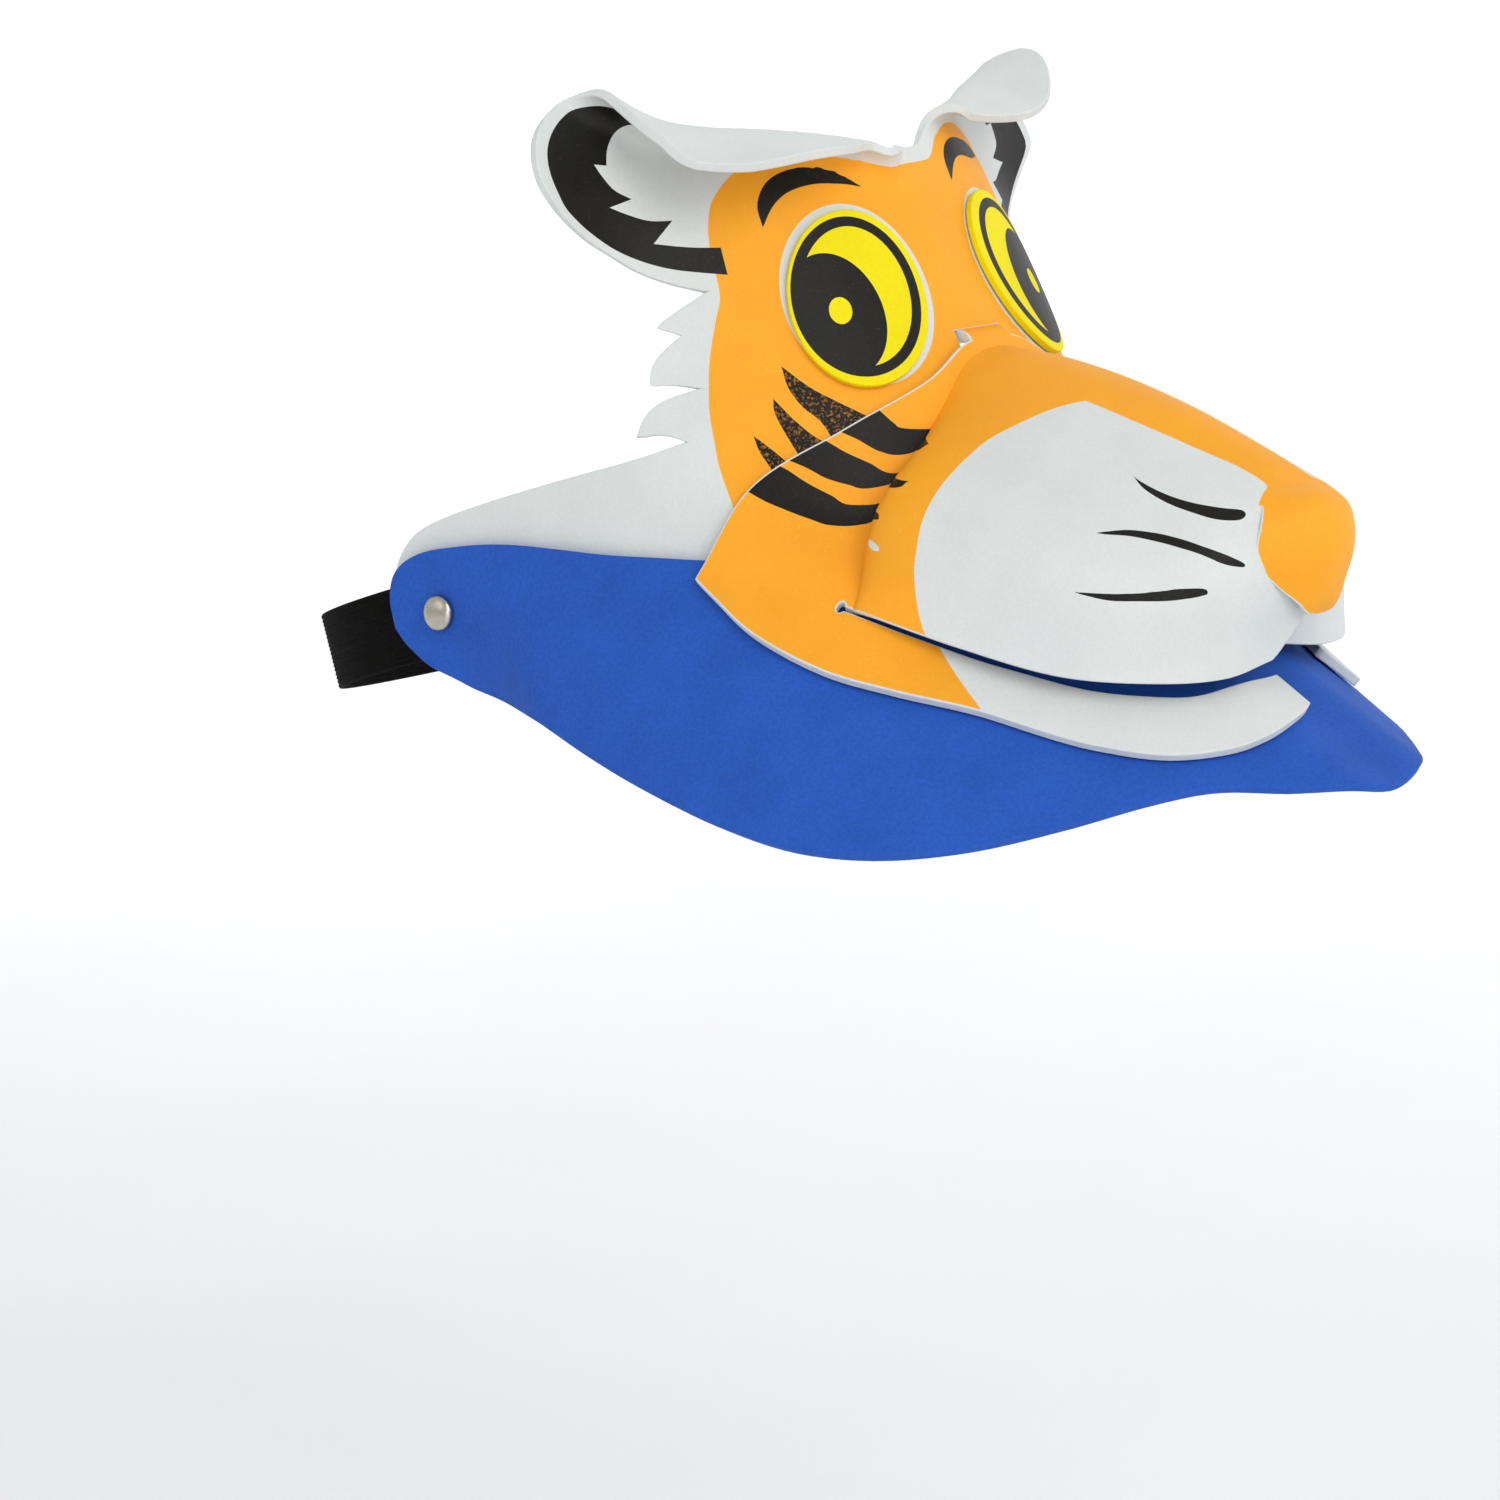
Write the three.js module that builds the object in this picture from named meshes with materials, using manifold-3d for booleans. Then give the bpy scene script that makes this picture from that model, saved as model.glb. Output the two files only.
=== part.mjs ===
// Foam tiger visor: a face panel and a brim of 2 mm foam sheet, a folded muzzle,
// two raised eyes, two rivets and an elastic strap.
// Millimetres, +Z up, the face looks along -Y, the origin lies midway between the rivets.
import * as THREE from "three";
import { mergeVertices } from "three/addons/utils/BufferGeometryUtils.js";
import Module from "manifold-3d";

const wasm = await Module();
wasm.setup();

// Driving dimensions
const FOAM = 2.0;
const GAP = 0.3;
const LAYER = FOAM + GAP + 0.15;
const FACE_RADIUS = 64;
const FACE_BEND = THREE.MathUtils.degToRad(82);
const FACE_LEAN = THREE.MathUtils.degToRad(31);
const FACE_CURVED = FACE_RADIUS * FACE_BEND;
const SLOT = new THREE.Vector3(0, -82, 56.5);
const SLOT_HALF = 7;
const SLOT_TALL = 3.6;
const RIVET = {
  u: 135, v: -6.9, cap: 3.6, post: 1.5, dome: 1.3, flange: 0.5, washer: 4, washerThick: 0.6, play: 1,
};
const RIVET_HOLE = RIVET.post + 0.2;
const EYE = {
  u: 25.5, v: 12.8, leftU: 23.6, leftV: 13.3, halfWide: 14, halfTall: 18.2, tilt: THREE.MathUtils.degToRad(15),
  thick: 1.5,
};
const STRAP = { width: 16, thick: 1.2, drop: THREE.MathUtils.degToRad(19) };

const BACK = new THREE.Vector3(0, Math.cos(FACE_LEAN), -Math.sin(FACE_LEAN));
const UP = new THREE.Vector3(0, Math.sin(FACE_LEAN), Math.cos(FACE_LEAN));

// Half outline of the face panel on its flat pattern: u runs outward, v runs up the panel
const FACE_TOP = [[0, 41.5], [6, 42.1], [10, 45.2], [12.2, 50]];
const EAR_FLAP = [[13.9, 56], [18.1, 62.5], [24.5, 70.5], [34.4, 76.1], [44, 78.7], [51, 77.5], [57, 73.2]];
const EAR_RIM = [[62.3, 69.8], [67.6, 68.6], [72.3, 66.2], [75.8, 63.4], [78.4, 59.4], [79.8, 54.4],
  [79.1, 49.6], [76.4, 45.2], [73, 41.2], [69.3, 37.7], [65.3, 33.7], [60, 29.5], [52.3, 24.5]];
const TUFTS = [[60.7, 22.8], [64.9, 21.8], [60.6, 18.4], [66.3, 16.6], [68.7, 14.9], [69.9, 12.5], [59.9, 7],
  [68.6, 8.1], [73.4, 7], [76.5, 4.3], [67.2, -1.3]];
const WING_TOP = [[73.6, -0.4], [88, 2.3], [104, 5.8], [120, 9], [130, 10.6], [137, 10]];
const WING_END = [[143, 6.6], [147, 1], [148, -5], [146, -10.6], [141, -14.8]];
const WING_LOW = [[135, -16.6], [120, -17], [105, -20.5], [90, -26.5], [75, -34.5], [60, -41.5], [42, -47],
  [20, -49.6], [0, -50]];

// The ears curl back outward from the bent panel: where the curl starts, its radius,
// and the heights that it grows between
const EAR_CURL = { from: 40, radius: 66, low: 12, high: 50 };

// Forward roll of each ear top: its line on the pattern with an upward bend past the knee, the bend radius,
// the angle at both ends, and where it begins
const RIGHT_EAR = {
  u: 19.4, v: 38.4, slope: 0.419, bend: 0.025, knee: 49.2, radius: 5.1,
  inner: 2.2, outer: 2.4, outerU: 61.8, from: 5,
};
const LEFT_EAR = {
  u: 19, v: 46.1, slope: 0.326, bend: 0.001, knee: 56, radius: 3.5,
  inner: 2.59, outer: 1.22, outerU: 69.6, from: 10,
};
const ROLL_START = 8;

// Brim rows: the inner edge u, v on the face pattern and the outer edge x, y, z
const BRIM = [
  { u: 0, v: -42.6, x: 0, y: -184.5, z: -19.5 },
  { u: 8, v: -42.4, x: 11.3, y: -182.3, z: -18 },
  { u: 16, v: -42, x: 20.6, y: -175.2, z: -18.1 },
  { u: 25, v: -41, x: 30.6, y: -165.4, z: -17.8 },
  { u: 34, v: -39.5, x: 41.1, y: -157.3, z: -19.9 },
  { u: 44, v: -37, x: 54.3, y: -148.5, z: -23.4 },
  { u: 54, v: -33.5, x: 69.1, y: -137.7, z: -26.7 },
  { u: 63, v: -29.5, x: 81.4, y: -125.2, z: -28.1 },
  { u: 72, v: -25.5, x: 88.3, y: -110.2, z: -27.7 },
  { u: 82, v: -20, x: 88, y: -91, z: -26.1 },
  { u: 92, v: -14.5, x: 86, y: -71, z: -22.9 },
  { u: 102, v: -8.7, x: 83, y: -53, z: -19.4 },
  { u: 112, v: -3, x: 80, y: -37.5, z: -15.7 },
  { u: 120, v: 0.8, x: 76.8, y: -30, z: -15.2 },
  { u: 127, v: 3.5, x: 73.5, y: -20.8, z: -14.6 },
];

// Brim rows of the flat horn round the rivet: inner and outer edge on the face pattern
const HORN = [
  { u: 132, v: 5.2, outU: 134.5, outV: -23.6 },
  { u: 136, v: 5.9, outU: 139, outV: -19 },
  { u: 139.7, v: 5.8, outU: 142.6, outV: -15.2 },
  { u: 142.7, v: 4.7, outU: 145, outV: -11.1 },
  { u: 144.9, v: 2.4, outU: 146.4, outV: -8 },
  { u: 146.2, v: -0.2, outU: 147.2, outV: -4.7 },
];

// Strap stations behind the rivet: half width of the loop and distance back along its slope
const STRAP_LOOP = [
  { x: 66.1, back: -8 }, { x: 67.3, back: 0.5 }, { x: 68.4, back: 9 }, { x: 68.9, back: 22 },
  { x: 65.4, back: 37 }, { x: 57, back: 52 }, { x: 43, back: 65 }, { x: 23, back: 73 }, { x: 0, back: 76 },
];

// Muzzle flange on the face panel: u, v of the back edge and of the fold, from ridge to mouth corner
const FLANGE = [
  { backU: 0, backV: -2.2, foldU: 0, foldV: -4.5 },
  { backU: 7.6, backV: -2.2, foldU: 9, foldV: -6.5 },
  { backU: 20, backV: -7.8, foldU: 17, foldV: -13.5 },
  { backU: 39.6, backV: -11.7, foldU: 26, foldV: -22 },
  { backU: 59.4, backV: -15.4, foldU: 38, foldV: -31.5 },
];

// Snout sections from the fold to the slits beside the nose: ridge y, z, shoulder, cheek and mouth edge
const SNOUT = [
  { ry: -98, rz: 53.6, sx: 23.5, sy: -98, sz: 44, cx: 46, cy: -97, cz: 29, mx: 54.5, my: -101, mz: 9.8 },
  { ry: -113, rz: 51.2, sx: 23, sy: -113, sz: 42, cx: 45, cy: -114, cz: 26, mx: 50, my: -119, mz: 5.6 },
  { ry: -129, rz: 47.3, sx: 21, sy: -129, sz: 38.4, cx: 40.5, cy: -131, cz: 23.2, mx: 42, my: -137, mz: 1.4 },
  { ry: -143, rz: 42.8, sx: 18, sy: -143, sz: 34.8, cx: 33.5, cy: -146, cz: 20.8, mx: 31, my: -151, mz: 0.4 },
  { ry: -154, rz: 38, sx: 14.5, sy: -154.5, sz: 33, cx: 24.5, cy: -157, cz: 19.4, mx: 19, my: -158, mz: 0.6 },
  { ry: -160, rz: 34.6, sx: 11.4, sy: -160, sz: 32.4, cx: 15.5, cy: -162.2, cz: 19.4, mx: 6.6, my: -159.6, mz: 2.6 },
];
const CHEEK_FRONT = { sx: 9.3, sy: -162, sz: 29, cx: 7, cy: -163.8, cz: 20, mx: 1.4, my: -163, mz: 11 };

// The left cheek is pressed back beside the nose: how far, and the rows and shares that it grows over
const LEFT_CHEEK = { back: 8, fromRow: 6.5, toRow: 9, fromShare: 0.4, toShare: 0.9 };

// Nose flap rows: centre y, z and its edge half width, y and z
const NOSE = [
  { y: -160, z: 34.6, half: 11.4, ey: -160, ez: 32.4 },
  { y: -165, z: 33.8, half: 12.2, ey: -161.2, ez: 31.2 },
  { y: -168.2, z: 31.6, half: 13.6, ey: -161.8, ez: 29.2 },
  { y: -169.4, z: 27.2, half: 14.8, ey: -161.8, ez: 25.6 },
  { y: -169.2, z: 22.6, half: 14, ey: -162.4, ez: 21.6 },
  { y: -168.2, z: 18.2, half: 10.4, ey: -164, ez: 17.8 },
  { y: -167, z: 14.2, half: 6.4, ey: -165.6, ez: 14.4 },
  { y: -166, z: 12, half: 4, ey: -165.8, ez: 12.2 },
];

// Jaw strip on the brim: brim row and fraction across it, for the slit edge and the outer edge
const JAW = [
  { inRow: 8.15, inAcross: 0.05, outRow: 8.3, outAcross: 0.09 },
  { inRow: 7.4, inAcross: 0.1, outRow: 8.05, outAcross: 0.16 },
  { inRow: 6.6, inAcross: 0.15, outRow: 7.6, outAcross: 0.28 },
  { inRow: 5.9, inAcross: 0.22, outRow: 6.75, outAcross: 0.41 },
  { inRow: 5.2, inAcross: 0.34, outRow: 5.9, outAcross: 0.5 },
  { inRow: 4.41, inAcross: 0.49, outRow: 5.09, outAcross: 0.61 },
  { inRow: 3.5, inAcross: 0.63, outRow: 4.08, outAcross: 0.81 },
  { inRow: 2.5, inAcross: 0.685, outRow: 3.04, outAcross: 0.9 },
  { inRow: 1.3, inAcross: 0.66, outRow: 1.67, outAcross: 0.84 },
  { inRow: 0.12, inAcross: 0.635, outRow: 0.16, outAcross: 0.74 },
];
const CORNER = 3;

// The left jaw strip ends shorter and narrower than the right one, as a share of its length past the corner
const LEFT_JAW = { reach: 0.6, narrower: 0.3 };

// Mesh density: steps along and across each sheet
const STEPS = {
  brim: 2, brimAcross: 5, snout: 2, around: 4, nose: 1, jaw: 2, jawAcross: 3, bend: 6.1, eye: 4.8, strap: 3,
};

function catmull(a, b, c, d, f) {
  const [square, cube] = [2 * a - 5 * b + 4 * c - d, 3 * b - a - 3 * c + d];
  return 0.5 * (2 * b + (c - a) * f + square * f * f + cube * f * f * f);
}

// A smooth curve through the rows of numbers; the row before the first is given or extended
function along(rows, t, before) {
  const last = rows.length - 1;
  const i = Math.min(Math.max(Math.floor(t), 0), last - 1);
  const row = (k) => {
    if (k < 0) return before ?? rows[0].map((value, n) => 2 * value - rows[1][n]);
    if (k > last) return rows[last].map((value, n) => 2 * value - rows[last - 1][n]);
    return rows[k];
  };
  const [a, b, c, d] = [row(i - 1), row(i), row(i + 1), row(i + 2)];
  return b.map((value, n) => catmull(a[n], value, c[n], d[n], t - i));
}

const mirrored = ([x, ...rest]) => [-x, ...rest];

// A point of the bent face panel: u around it, v up it, h out of its middle surface
function facePoint(u, v, h = 0) {
  const side = Math.sign(u) || 1;
  const around = Math.abs(u);
  const bend = Math.min(around / FACE_RADIUS, FACE_BEND);
  const straight = Math.max(around - FACE_CURVED, 0);
  let x = (FACE_RADIUS + h) * Math.sin(bend) + straight * Math.cos(bend);
  let depth = FACE_RADIUS - (FACE_RADIUS + h) * Math.cos(bend) + straight * Math.sin(bend);
  const past = around - EAR_CURL.from;
  const share = THREE.MathUtils.clamp((v - EAR_CURL.low) / (EAR_CURL.high - EAR_CURL.low), 0, 1);
  if (past > 0 && share > 0) {
    const first = EAR_CURL.from / FACE_RADIUS;
    const turn = first - past / EAR_CURL.radius;
    const { radius } = EAR_CURL;
    const curlX = (FACE_RADIUS + radius) * Math.sin(first) - (radius - h) * Math.sin(turn);
    const curlDepth = FACE_RADIUS - (FACE_RADIUS + radius) * Math.cos(first) + (radius - h) * Math.cos(turn);
    x = THREE.MathUtils.lerp(x, curlX, share);
    depth = THREE.MathUtils.lerp(depth, curlDepth, share);
  }
  return new THREE.Vector3(side * x, 0, 0).add(SLOT).addScaledVector(BACK, depth).addScaledVector(UP, v);
}

// Where a pattern point lies past the curved fold line of an ear: its foot on the line, and how far beyond
function pastFold(u, v, ear) {
  const rounds = 12;
  const steep = Math.hypot(1, ear.slope);
  const line = (at) => ear.v + ear.slope * (at - ear.u) + ear.bend * Math.max(at - ear.knee, 0) ** 2;
  let foot = u;
  for (let n = 0; n < rounds; n += 1) foot = (foot + u + (v - line(foot)) * ear.slope) / 2;
  return { foot, footV: line(foot), beyond: (v - line(foot)) * steep, steep };
}

// The pattern place u, v and the height h of a point outside the panel, on the wearer's left
function facePlace(point) {
  const from = point.clone().sub(SLOT);
  const depth = from.dot(BACK);
  const angle = Math.min(Math.atan2(from.x, FACE_RADIUS - depth), FACE_BEND);
  const h = from.x * Math.sin(angle) + (FACE_RADIUS - depth) * Math.cos(angle) - FACE_RADIUS;
  const straight = from.x * Math.cos(angle) - (FACE_RADIUS - depth) * Math.sin(angle);
  return [FACE_RADIUS * angle + straight, from.dot(UP), h];
}

// Folds the ear tops of the flat panel forward, before the panel is bent
function foldEar(u, v, h) {
  const side = Math.sign(u) || 1;
  const ear = side < 0 ? RIGHT_EAR : LEFT_EAR;
  const { foot, footV, beyond, steep } = pastFold(Math.abs(u), v, ear);
  if (beyond <= 0) return [u, v, h];
  const share = THREE.MathUtils.clamp((foot - ear.u) / (ear.outerU - ear.u), 0, 1);
  const begun = THREE.MathUtils.clamp((foot - ear.from) / ROLL_START, 0, 1);
  const turn = Math.min(beyond / ear.radius, THREE.MathUtils.lerp(ear.inner, ear.outer, share) * begun);
  const rest = beyond - turn * ear.radius;
  const out = (ear.radius - h) * Math.sin(turn) + rest * Math.cos(turn);
  const rise = ear.radius - (ear.radius - h) * Math.cos(turn) + rest * Math.sin(turn);
  return [side * (foot - (out * ear.slope) / steep), footV + out / steep, rise];
}

// Inner and outer edge points of half the brim, from its middle to the end of the horn
function brimEdges() {
  const inner = BRIM.map((row) => facePoint(row.u, row.v, LAYER).toArray());
  const outer = BRIM.map((row) => [row.x, row.y, row.z]);
  for (const row of HORN) {
    inner.push(facePoint(row.u, row.v, LAYER).toArray());
    outer.push(facePoint(row.outU, row.outV, LAYER).toArray());
  }
  return { inner, outer };
}

const EDGES = brimEdges();
const BRIM_END = EDGES.inner.length - 1;

function brimMiddle(row, across) {
  const inner = new THREE.Vector3(...along(EDGES.inner, row, mirrored(EDGES.inner[1])));
  const outer = new THREE.Vector3(...along(EDGES.outer, row, mirrored(EDGES.outer[1])));
  return inner.lerp(outer, across);
}

// A point of the brim, or of a layer that lies lift above it
function brimPoint(row, across, lift = 0) {
  const point = brimMiddle(row, across);
  if (lift === 0) return point;
  const step = 0.02;
  const [low, high] = [Math.max(row - step, 0), Math.min(row + step, BRIM_END)];
  const [near, far] = [Math.max(across - step, 0), Math.min(across + step, 1)];
  const ahead = brimMiddle(high, across).sub(brimMiddle(low, across));
  const outward = brimMiddle(row, far).sub(brimMiddle(row, near));
  return point.addScaledVector(outward.cross(ahead).normalize(), lift);
}

const mirrorPoint = (point) => new THREE.Vector3(-point.x, point.y, point.z);
const mirrorGrid = (grid) => grid.map((row) => row.map(mirrorPoint).reverse());

function geometryFrom(positions, index) {
  const geometry = new THREE.BufferGeometry();
  geometry.setAttribute("position", new THREE.Float32BufferAttribute(positions, 3));
  geometry.setIndex(index);
  return geometry;
}

// Joins grids of points into one surface, welding the points that they share
function weldGrids(grids) {
  const points = [];
  const found = new Map();
  const number = (point) => {
    const key = point.toArray().map((value) => Math.round(value * 1000)).join(",");
    if (!found.has(key)) found.set(key, points.push(point.clone()) - 1);
    return found.get(key);
  };
  const triangles = [];
  const add = (a, b, c) => {
    if (a !== b && b !== c && a !== c) triangles.push([a, b, c]);
  };
  for (const grid of grids) {
    const ids = grid.map((row) => row.map(number));
    for (let i = 0; i + 1 < ids.length; i += 1) {
      for (let j = 0; j + 1 < ids[i].length; j += 1) {
        add(ids[i][j], ids[i][j + 1], ids[i + 1][j]);
        add(ids[i][j + 1], ids[i + 1][j + 1], ids[i + 1][j]);
      }
    }
  }
  return { points, triangles };
}

function pointNormals(points, triangles) {
  const normals = points.map(() => new THREE.Vector3());
  for (const [a, b, c] of triangles) {
    const face = points[b].clone().sub(points[a]).cross(points[c].clone().sub(points[a]));
    for (const id of [a, b, c]) normals[id].add(face);
  }
  return normals.map((normal) => normal.normalize());
}

// A sheet of even thickness round a middle surface
function sheetSolid(grids, thickness) {
  const { points, triangles } = weldGrids(grids);
  const normals = pointNormals(points, triangles);
  const front = points.map((point, n) => point.clone().addScaledVector(normals[n], thickness / 2));
  const back = points.map((point, n) => point.clone().addScaledVector(normals[n], -thickness / 2));
  return closeSheet(front, back, triangles);
}

// The closed body between two like surfaces, with walls along every edge and slit
function closeSheet(front, back, triangles) {
  const count = front.length;
  const index = [];
  const edges = new Map();
  for (const [a, b, c] of triangles) {
    index.push(a, b, c, a + count, c + count, b + count);
    for (const [from, to] of [[a, b], [b, c], [c, a]]) {
      const opposite = `${to}:${from}`;
      if (edges.has(opposite)) edges.delete(opposite);
      else edges.set(`${from}:${to}`, [from, to]);
    }
  }
  for (const [from, to] of edges.values()) {
    index.push(to, from, to + count, from, from + count, to + count);
  }
  return geometryFrom([...front, ...back].flatMap((point) => point.toArray()), index);
}

function welded(geometry) {
  const bare = geometry.clone();
  for (const name of ["normal", "uv"]) bare.deleteAttribute(name);
  return mergeVertices(bare, 1e-3);
}

function toManifold(geometry) {
  const bare = welded(geometry);
  const vertProperties = new Float32Array(bare.attributes.position.array);
  const triVerts = new Uint32Array(bare.index.array);
  return new wasm.Manifold(new wasm.Mesh({ numProp: 3, vertProperties, triVerts }));
}

function fromManifold(solid) {
  const mesh = solid.getMesh();
  return geometryFrom(mesh.vertProperties, [...mesh.triVerts]);
}

function cut(geometry, ...tools) {
  let solid = toManifold(geometry);
  for (const tool of tools) solid = solid.subtract(toManifold(tool));
  return fromManifold(solid);
}

// Splits a flat outline by a line, given as point => distance, into its pieces on both sides
function splitOutline(outline, distance) {
  const points = [];
  outline.forEach((point, n) => {
    const next = outline[(n + 1) % outline.length];
    const [here, there] = [distance(point), distance(next)];
    points.push({ point, offset: here });
    if (here * there < 0) {
      const share = here / (here - there);
      points.push({ point: [0, 1].map((k) => point[k] + (next[k] - point[k]) * share), offset: 0 });
    }
  });
  const crossings = points.filter((entry) => entry.offset === 0);
  if (crossings.length === 0) return [outline];
  const [from, to] = [crossings[0].point, crossings[crossings.length - 1].point];
  const [run, rise] = [to[0] - from[0], to[1] - from[1]];
  const onLine = ({ point }) => (point[0] - from[0]) * run + (point[1] - from[1]) * rise;
  crossings.sort((a, b) => onLine(a) - onLine(b));
  crossings.forEach((entry, n) => { entry.partner = crossings[n % 2 === 0 ? n + 1 : n - 1]; });
  return [1, -1].flatMap((side) => traceSide(points, crossings, side));
}

// Follows the outline on one side of a line, and the line itself between paired crossings
function traceSide(points, crossings, side) {
  const loops = [];
  const open = new Set(crossings.filter((entry) => {
    const next = points[(points.indexOf(entry) + 1) % points.length];
    return next.offset * side > 0;
  }));
  while (open.size > 0) {
    const loop = [];
    let [start] = open;
    while (open.has(start)) {
      open.delete(start);
      let n = points.indexOf(start);
      loop.push(start.point);
      do {
        n = (n + 1) % points.length;
        loop.push(points[n].point);
      } while (points[n].offset !== 0);
      start = points[n].partner;
    }
    loops.push(loop);
  }
  return loops;
}

// A flat outline of foam, split along lines so that it can bend there, then bent point by point
function bentSheet(outline, thickness, bend, lines) {
  const pieces = lines.reduce((list, line) => list.flatMap((piece) => splitOutline(piece, line)), [outline]);
  const points = [];
  const found = new Map();
  const number = ([u, v]) => {
    const key = `${Math.round(u * 1000)},${Math.round(v * 1000)}`;
    if (!found.has(key)) found.set(key, points.push([u, v]) - 1);
    return found.get(key);
  };
  const triangles = [];
  for (const piece of pieces) {
    const contour = piece.map(([u, v]) => new THREE.Vector2(u, v));
    for (const corners of THREE.ShapeUtils.triangulateShape(contour, [])) {
      const ids = corners.map((corner) => number(piece[corner]));
      if (new Set(ids).size === 3) triangles.push(ids);
    }
  }
  const front = points.map(([u, v]) => bend(u, v, thickness / 2));
  const back = points.map(([u, v]) => bend(u, v, -thickness / 2));
  return closeSheet(front, back, triangles);
}

// Lines across the pattern, every step, over the curved part of the panel
function bendLines(from, to, step) {
  const count = Math.round((to - from) / step);
  return Array.from({ length: count + 1 }, (_, n) => ([u]) => u - (from + (n * (to - from)) / count));
}

// Lines along both ear folds, close together round the bend
function foldLines() {
  const lines = (ear, side) => [0, 0.25, 0.5, 0.75, 1].map((share) => {
    const reach = share * ear.radius * Math.max(ear.inner, ear.outer) + 0.01;
    return ([u, v]) => (side * u > 0 ? pastFold(side * u, v, ear).beyond - reach : -1);
  });
  return [...lines(RIGHT_EAR, -1), ...lines(LEFT_EAR, 1)];
}

// Level lines across the ears, so that they can curl
function curlLines() {
  return [0.25, 0.5, 0.75, 1].map((share) => THREE.MathUtils.lerp(EAR_CURL.low, EAR_CURL.high, share))
    .map((level) => ([, v]) => v - level);
}

function circle(u, v, radius, sides) {
  const turns = Array.from({ length: sides }, (_, n) => (2 * Math.PI * n) / sides);
  return turns.map((turn) => [u + radius * Math.cos(turn), v + radius * Math.sin(turn)]);
}

function facePanel() {
  const half = [...FACE_TOP, ...EAR_FLAP, ...EAR_RIM, ...TUFTS, ...WING_TOP, ...WING_END, ...WING_LOW];
  const outline = [...half, ...half.slice(1, -1).reverse().map(mirrored)].reverse();
  const lines = [...bendLines(-FACE_CURVED, FACE_CURVED, STEPS.bend), ...curlLines(), ...foldLines()];
  const sheet = bentSheet(outline, FOAM, (u, v, h) => facePoint(...foldEar(u, v, h)), lines);
  return cut(sheet, rivetBore(-1), rivetBore(1), slotBlock());
}

// The slot between the eyes, square to the panel
function slotBlock() {
  const block = new THREE.BoxGeometry(2 * SLOT_HALF, 5 * FOAM, SLOT_TALL);
  return block.rotateX(-FACE_LEAN).translate(SLOT.x, SLOT.y, SLOT.z);
}

function visorBrim() {
  const rows = BRIM_END * STEPS.brim;
  const grid = [];
  for (let n = -rows; n <= rows; n += 1) {
    const row = [];
    for (let k = 0; k <= STEPS.brimAcross; k += 1) {
      const point = brimPoint(Math.abs(n) / STEPS.brim, k / STEPS.brimAcross);
      row.push(n < 0 ? mirrorPoint(point) : point);
    }
    grid.push(row);
  }
  const sheet = sheetSolid([grid.reverse()], FOAM);
  return cut(sheet, rivetBore(-1), rivetBore(1));
}

// Places a shape turned about +Z so that its axis stands out of the side of the visor at a rivet
function atRivet(geometry, side) {
  const base = facePoint(RIVET.u, RIVET.v);
  const axis = facePoint(RIVET.u, RIVET.v, 1).sub(base).normalize();
  const turn = new THREE.Quaternion().setFromUnitVectors(new THREE.Vector3(0, 0, 1), axis);
  const placed = geometry.clone().applyQuaternion(turn).translate(base.x, base.y, base.z);
  return side > 0 ? placed : flipX(placed);
}

function flipX(geometry) {
  const mirror = geometry.clone().applyMatrix4(new THREE.Matrix4().makeScale(-1, 1, 1));
  const index = mirror.index.array;
  for (let n = 0; n < index.length; n += 3) [index[n], index[n + 1]] = [index[n + 1], index[n]];
  return mirror;
}

function upright(lathe) {
  return welded(lathe.rotateX(Math.PI / 2));
}

function rivetBore(side) {
  const bore = new THREE.CylinderGeometry(RIVET_HOLE, RIVET_HOLE, 16, 12);
  return atRivet(upright(bore), side);
}

// One hollow-looking rivet as a single turned solid: outer cap, post and inner washer
function rivet(side) {
  const under = LAYER + FOAM / 2 + 2 * GAP;
  const inside = -(FOAM / 2 + STRAP.thick + RIVET.play);
  const profile = [
    [0, inside - RIVET.washerThick], [RIVET.washer, inside - RIVET.washerThick], [RIVET.washer, inside],
    [RIVET.post, inside], [RIVET.post, under], [RIVET.cap, under], [RIVET.cap, under + RIVET.flange],
    [RIVET.cap * 0.8, under + RIVET.dome * 0.75], [RIVET.cap * 0.45, under + RIVET.dome * 0.96],
    [0, under + RIVET.dome],
  ].map(([radius, height]) => new THREE.Vector2(radius, height));
  return atRivet(upright(new THREE.LatheGeometry(profile, 20)), side);
}

// A raised foam oval on the panel beside the ridge
function eye(side) {
  const [middleU, middleV] = side > 0 ? [EYE.leftU, EYE.leftV] : [EYE.u, EYE.v];
  const outline = circle(0, 0, 1, 36).map(([a, b]) => {
    const wide = side * a * EYE.halfWide;
    const tall = b * EYE.halfTall;
    const u = middleU + wide * Math.cos(EYE.tilt) - tall * Math.sin(EYE.tilt);
    return [side * u, middleV + wide * Math.sin(EYE.tilt) + tall * Math.cos(EYE.tilt)];
  });
  const lift = FOAM / 2 + GAP + EYE.thick / 2;
  const [near, far] = [middleU - EYE.halfTall, middleU + EYE.halfTall].map((u) => side * u);
  const lines = bendLines(near, far, side * STEPS.eye);
  return bentSheet(outline, EYE.thick, (u, v, h) => facePoint(u, v, h + lift), lines);
}

// A flange row on the panel, part of the way from the back edge to the fold, ending at the mouth line
function flangeRow(share, mouth, columns) {
  const rows = FLANGE.map((row) => [
    THREE.MathUtils.lerp(row.backU, row.foldU, share),
    THREE.MathUtils.lerp(row.backV, row.foldV, share),
    LAYER,
  ]);
  rows.push(facePlace(mouth));
  const before = [-rows[1][0], rows[1][1], rows[1][2]];
  const row = [];
  for (let k = 0; k < columns; k += 1) {
    const [u, v, h] = along(rows, (FLANGE.length * k) / columns, before);
    row.push(facePoint(u, v, Math.max(h, LAYER)));
  }
  return [...row, mouth];
}

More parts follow.
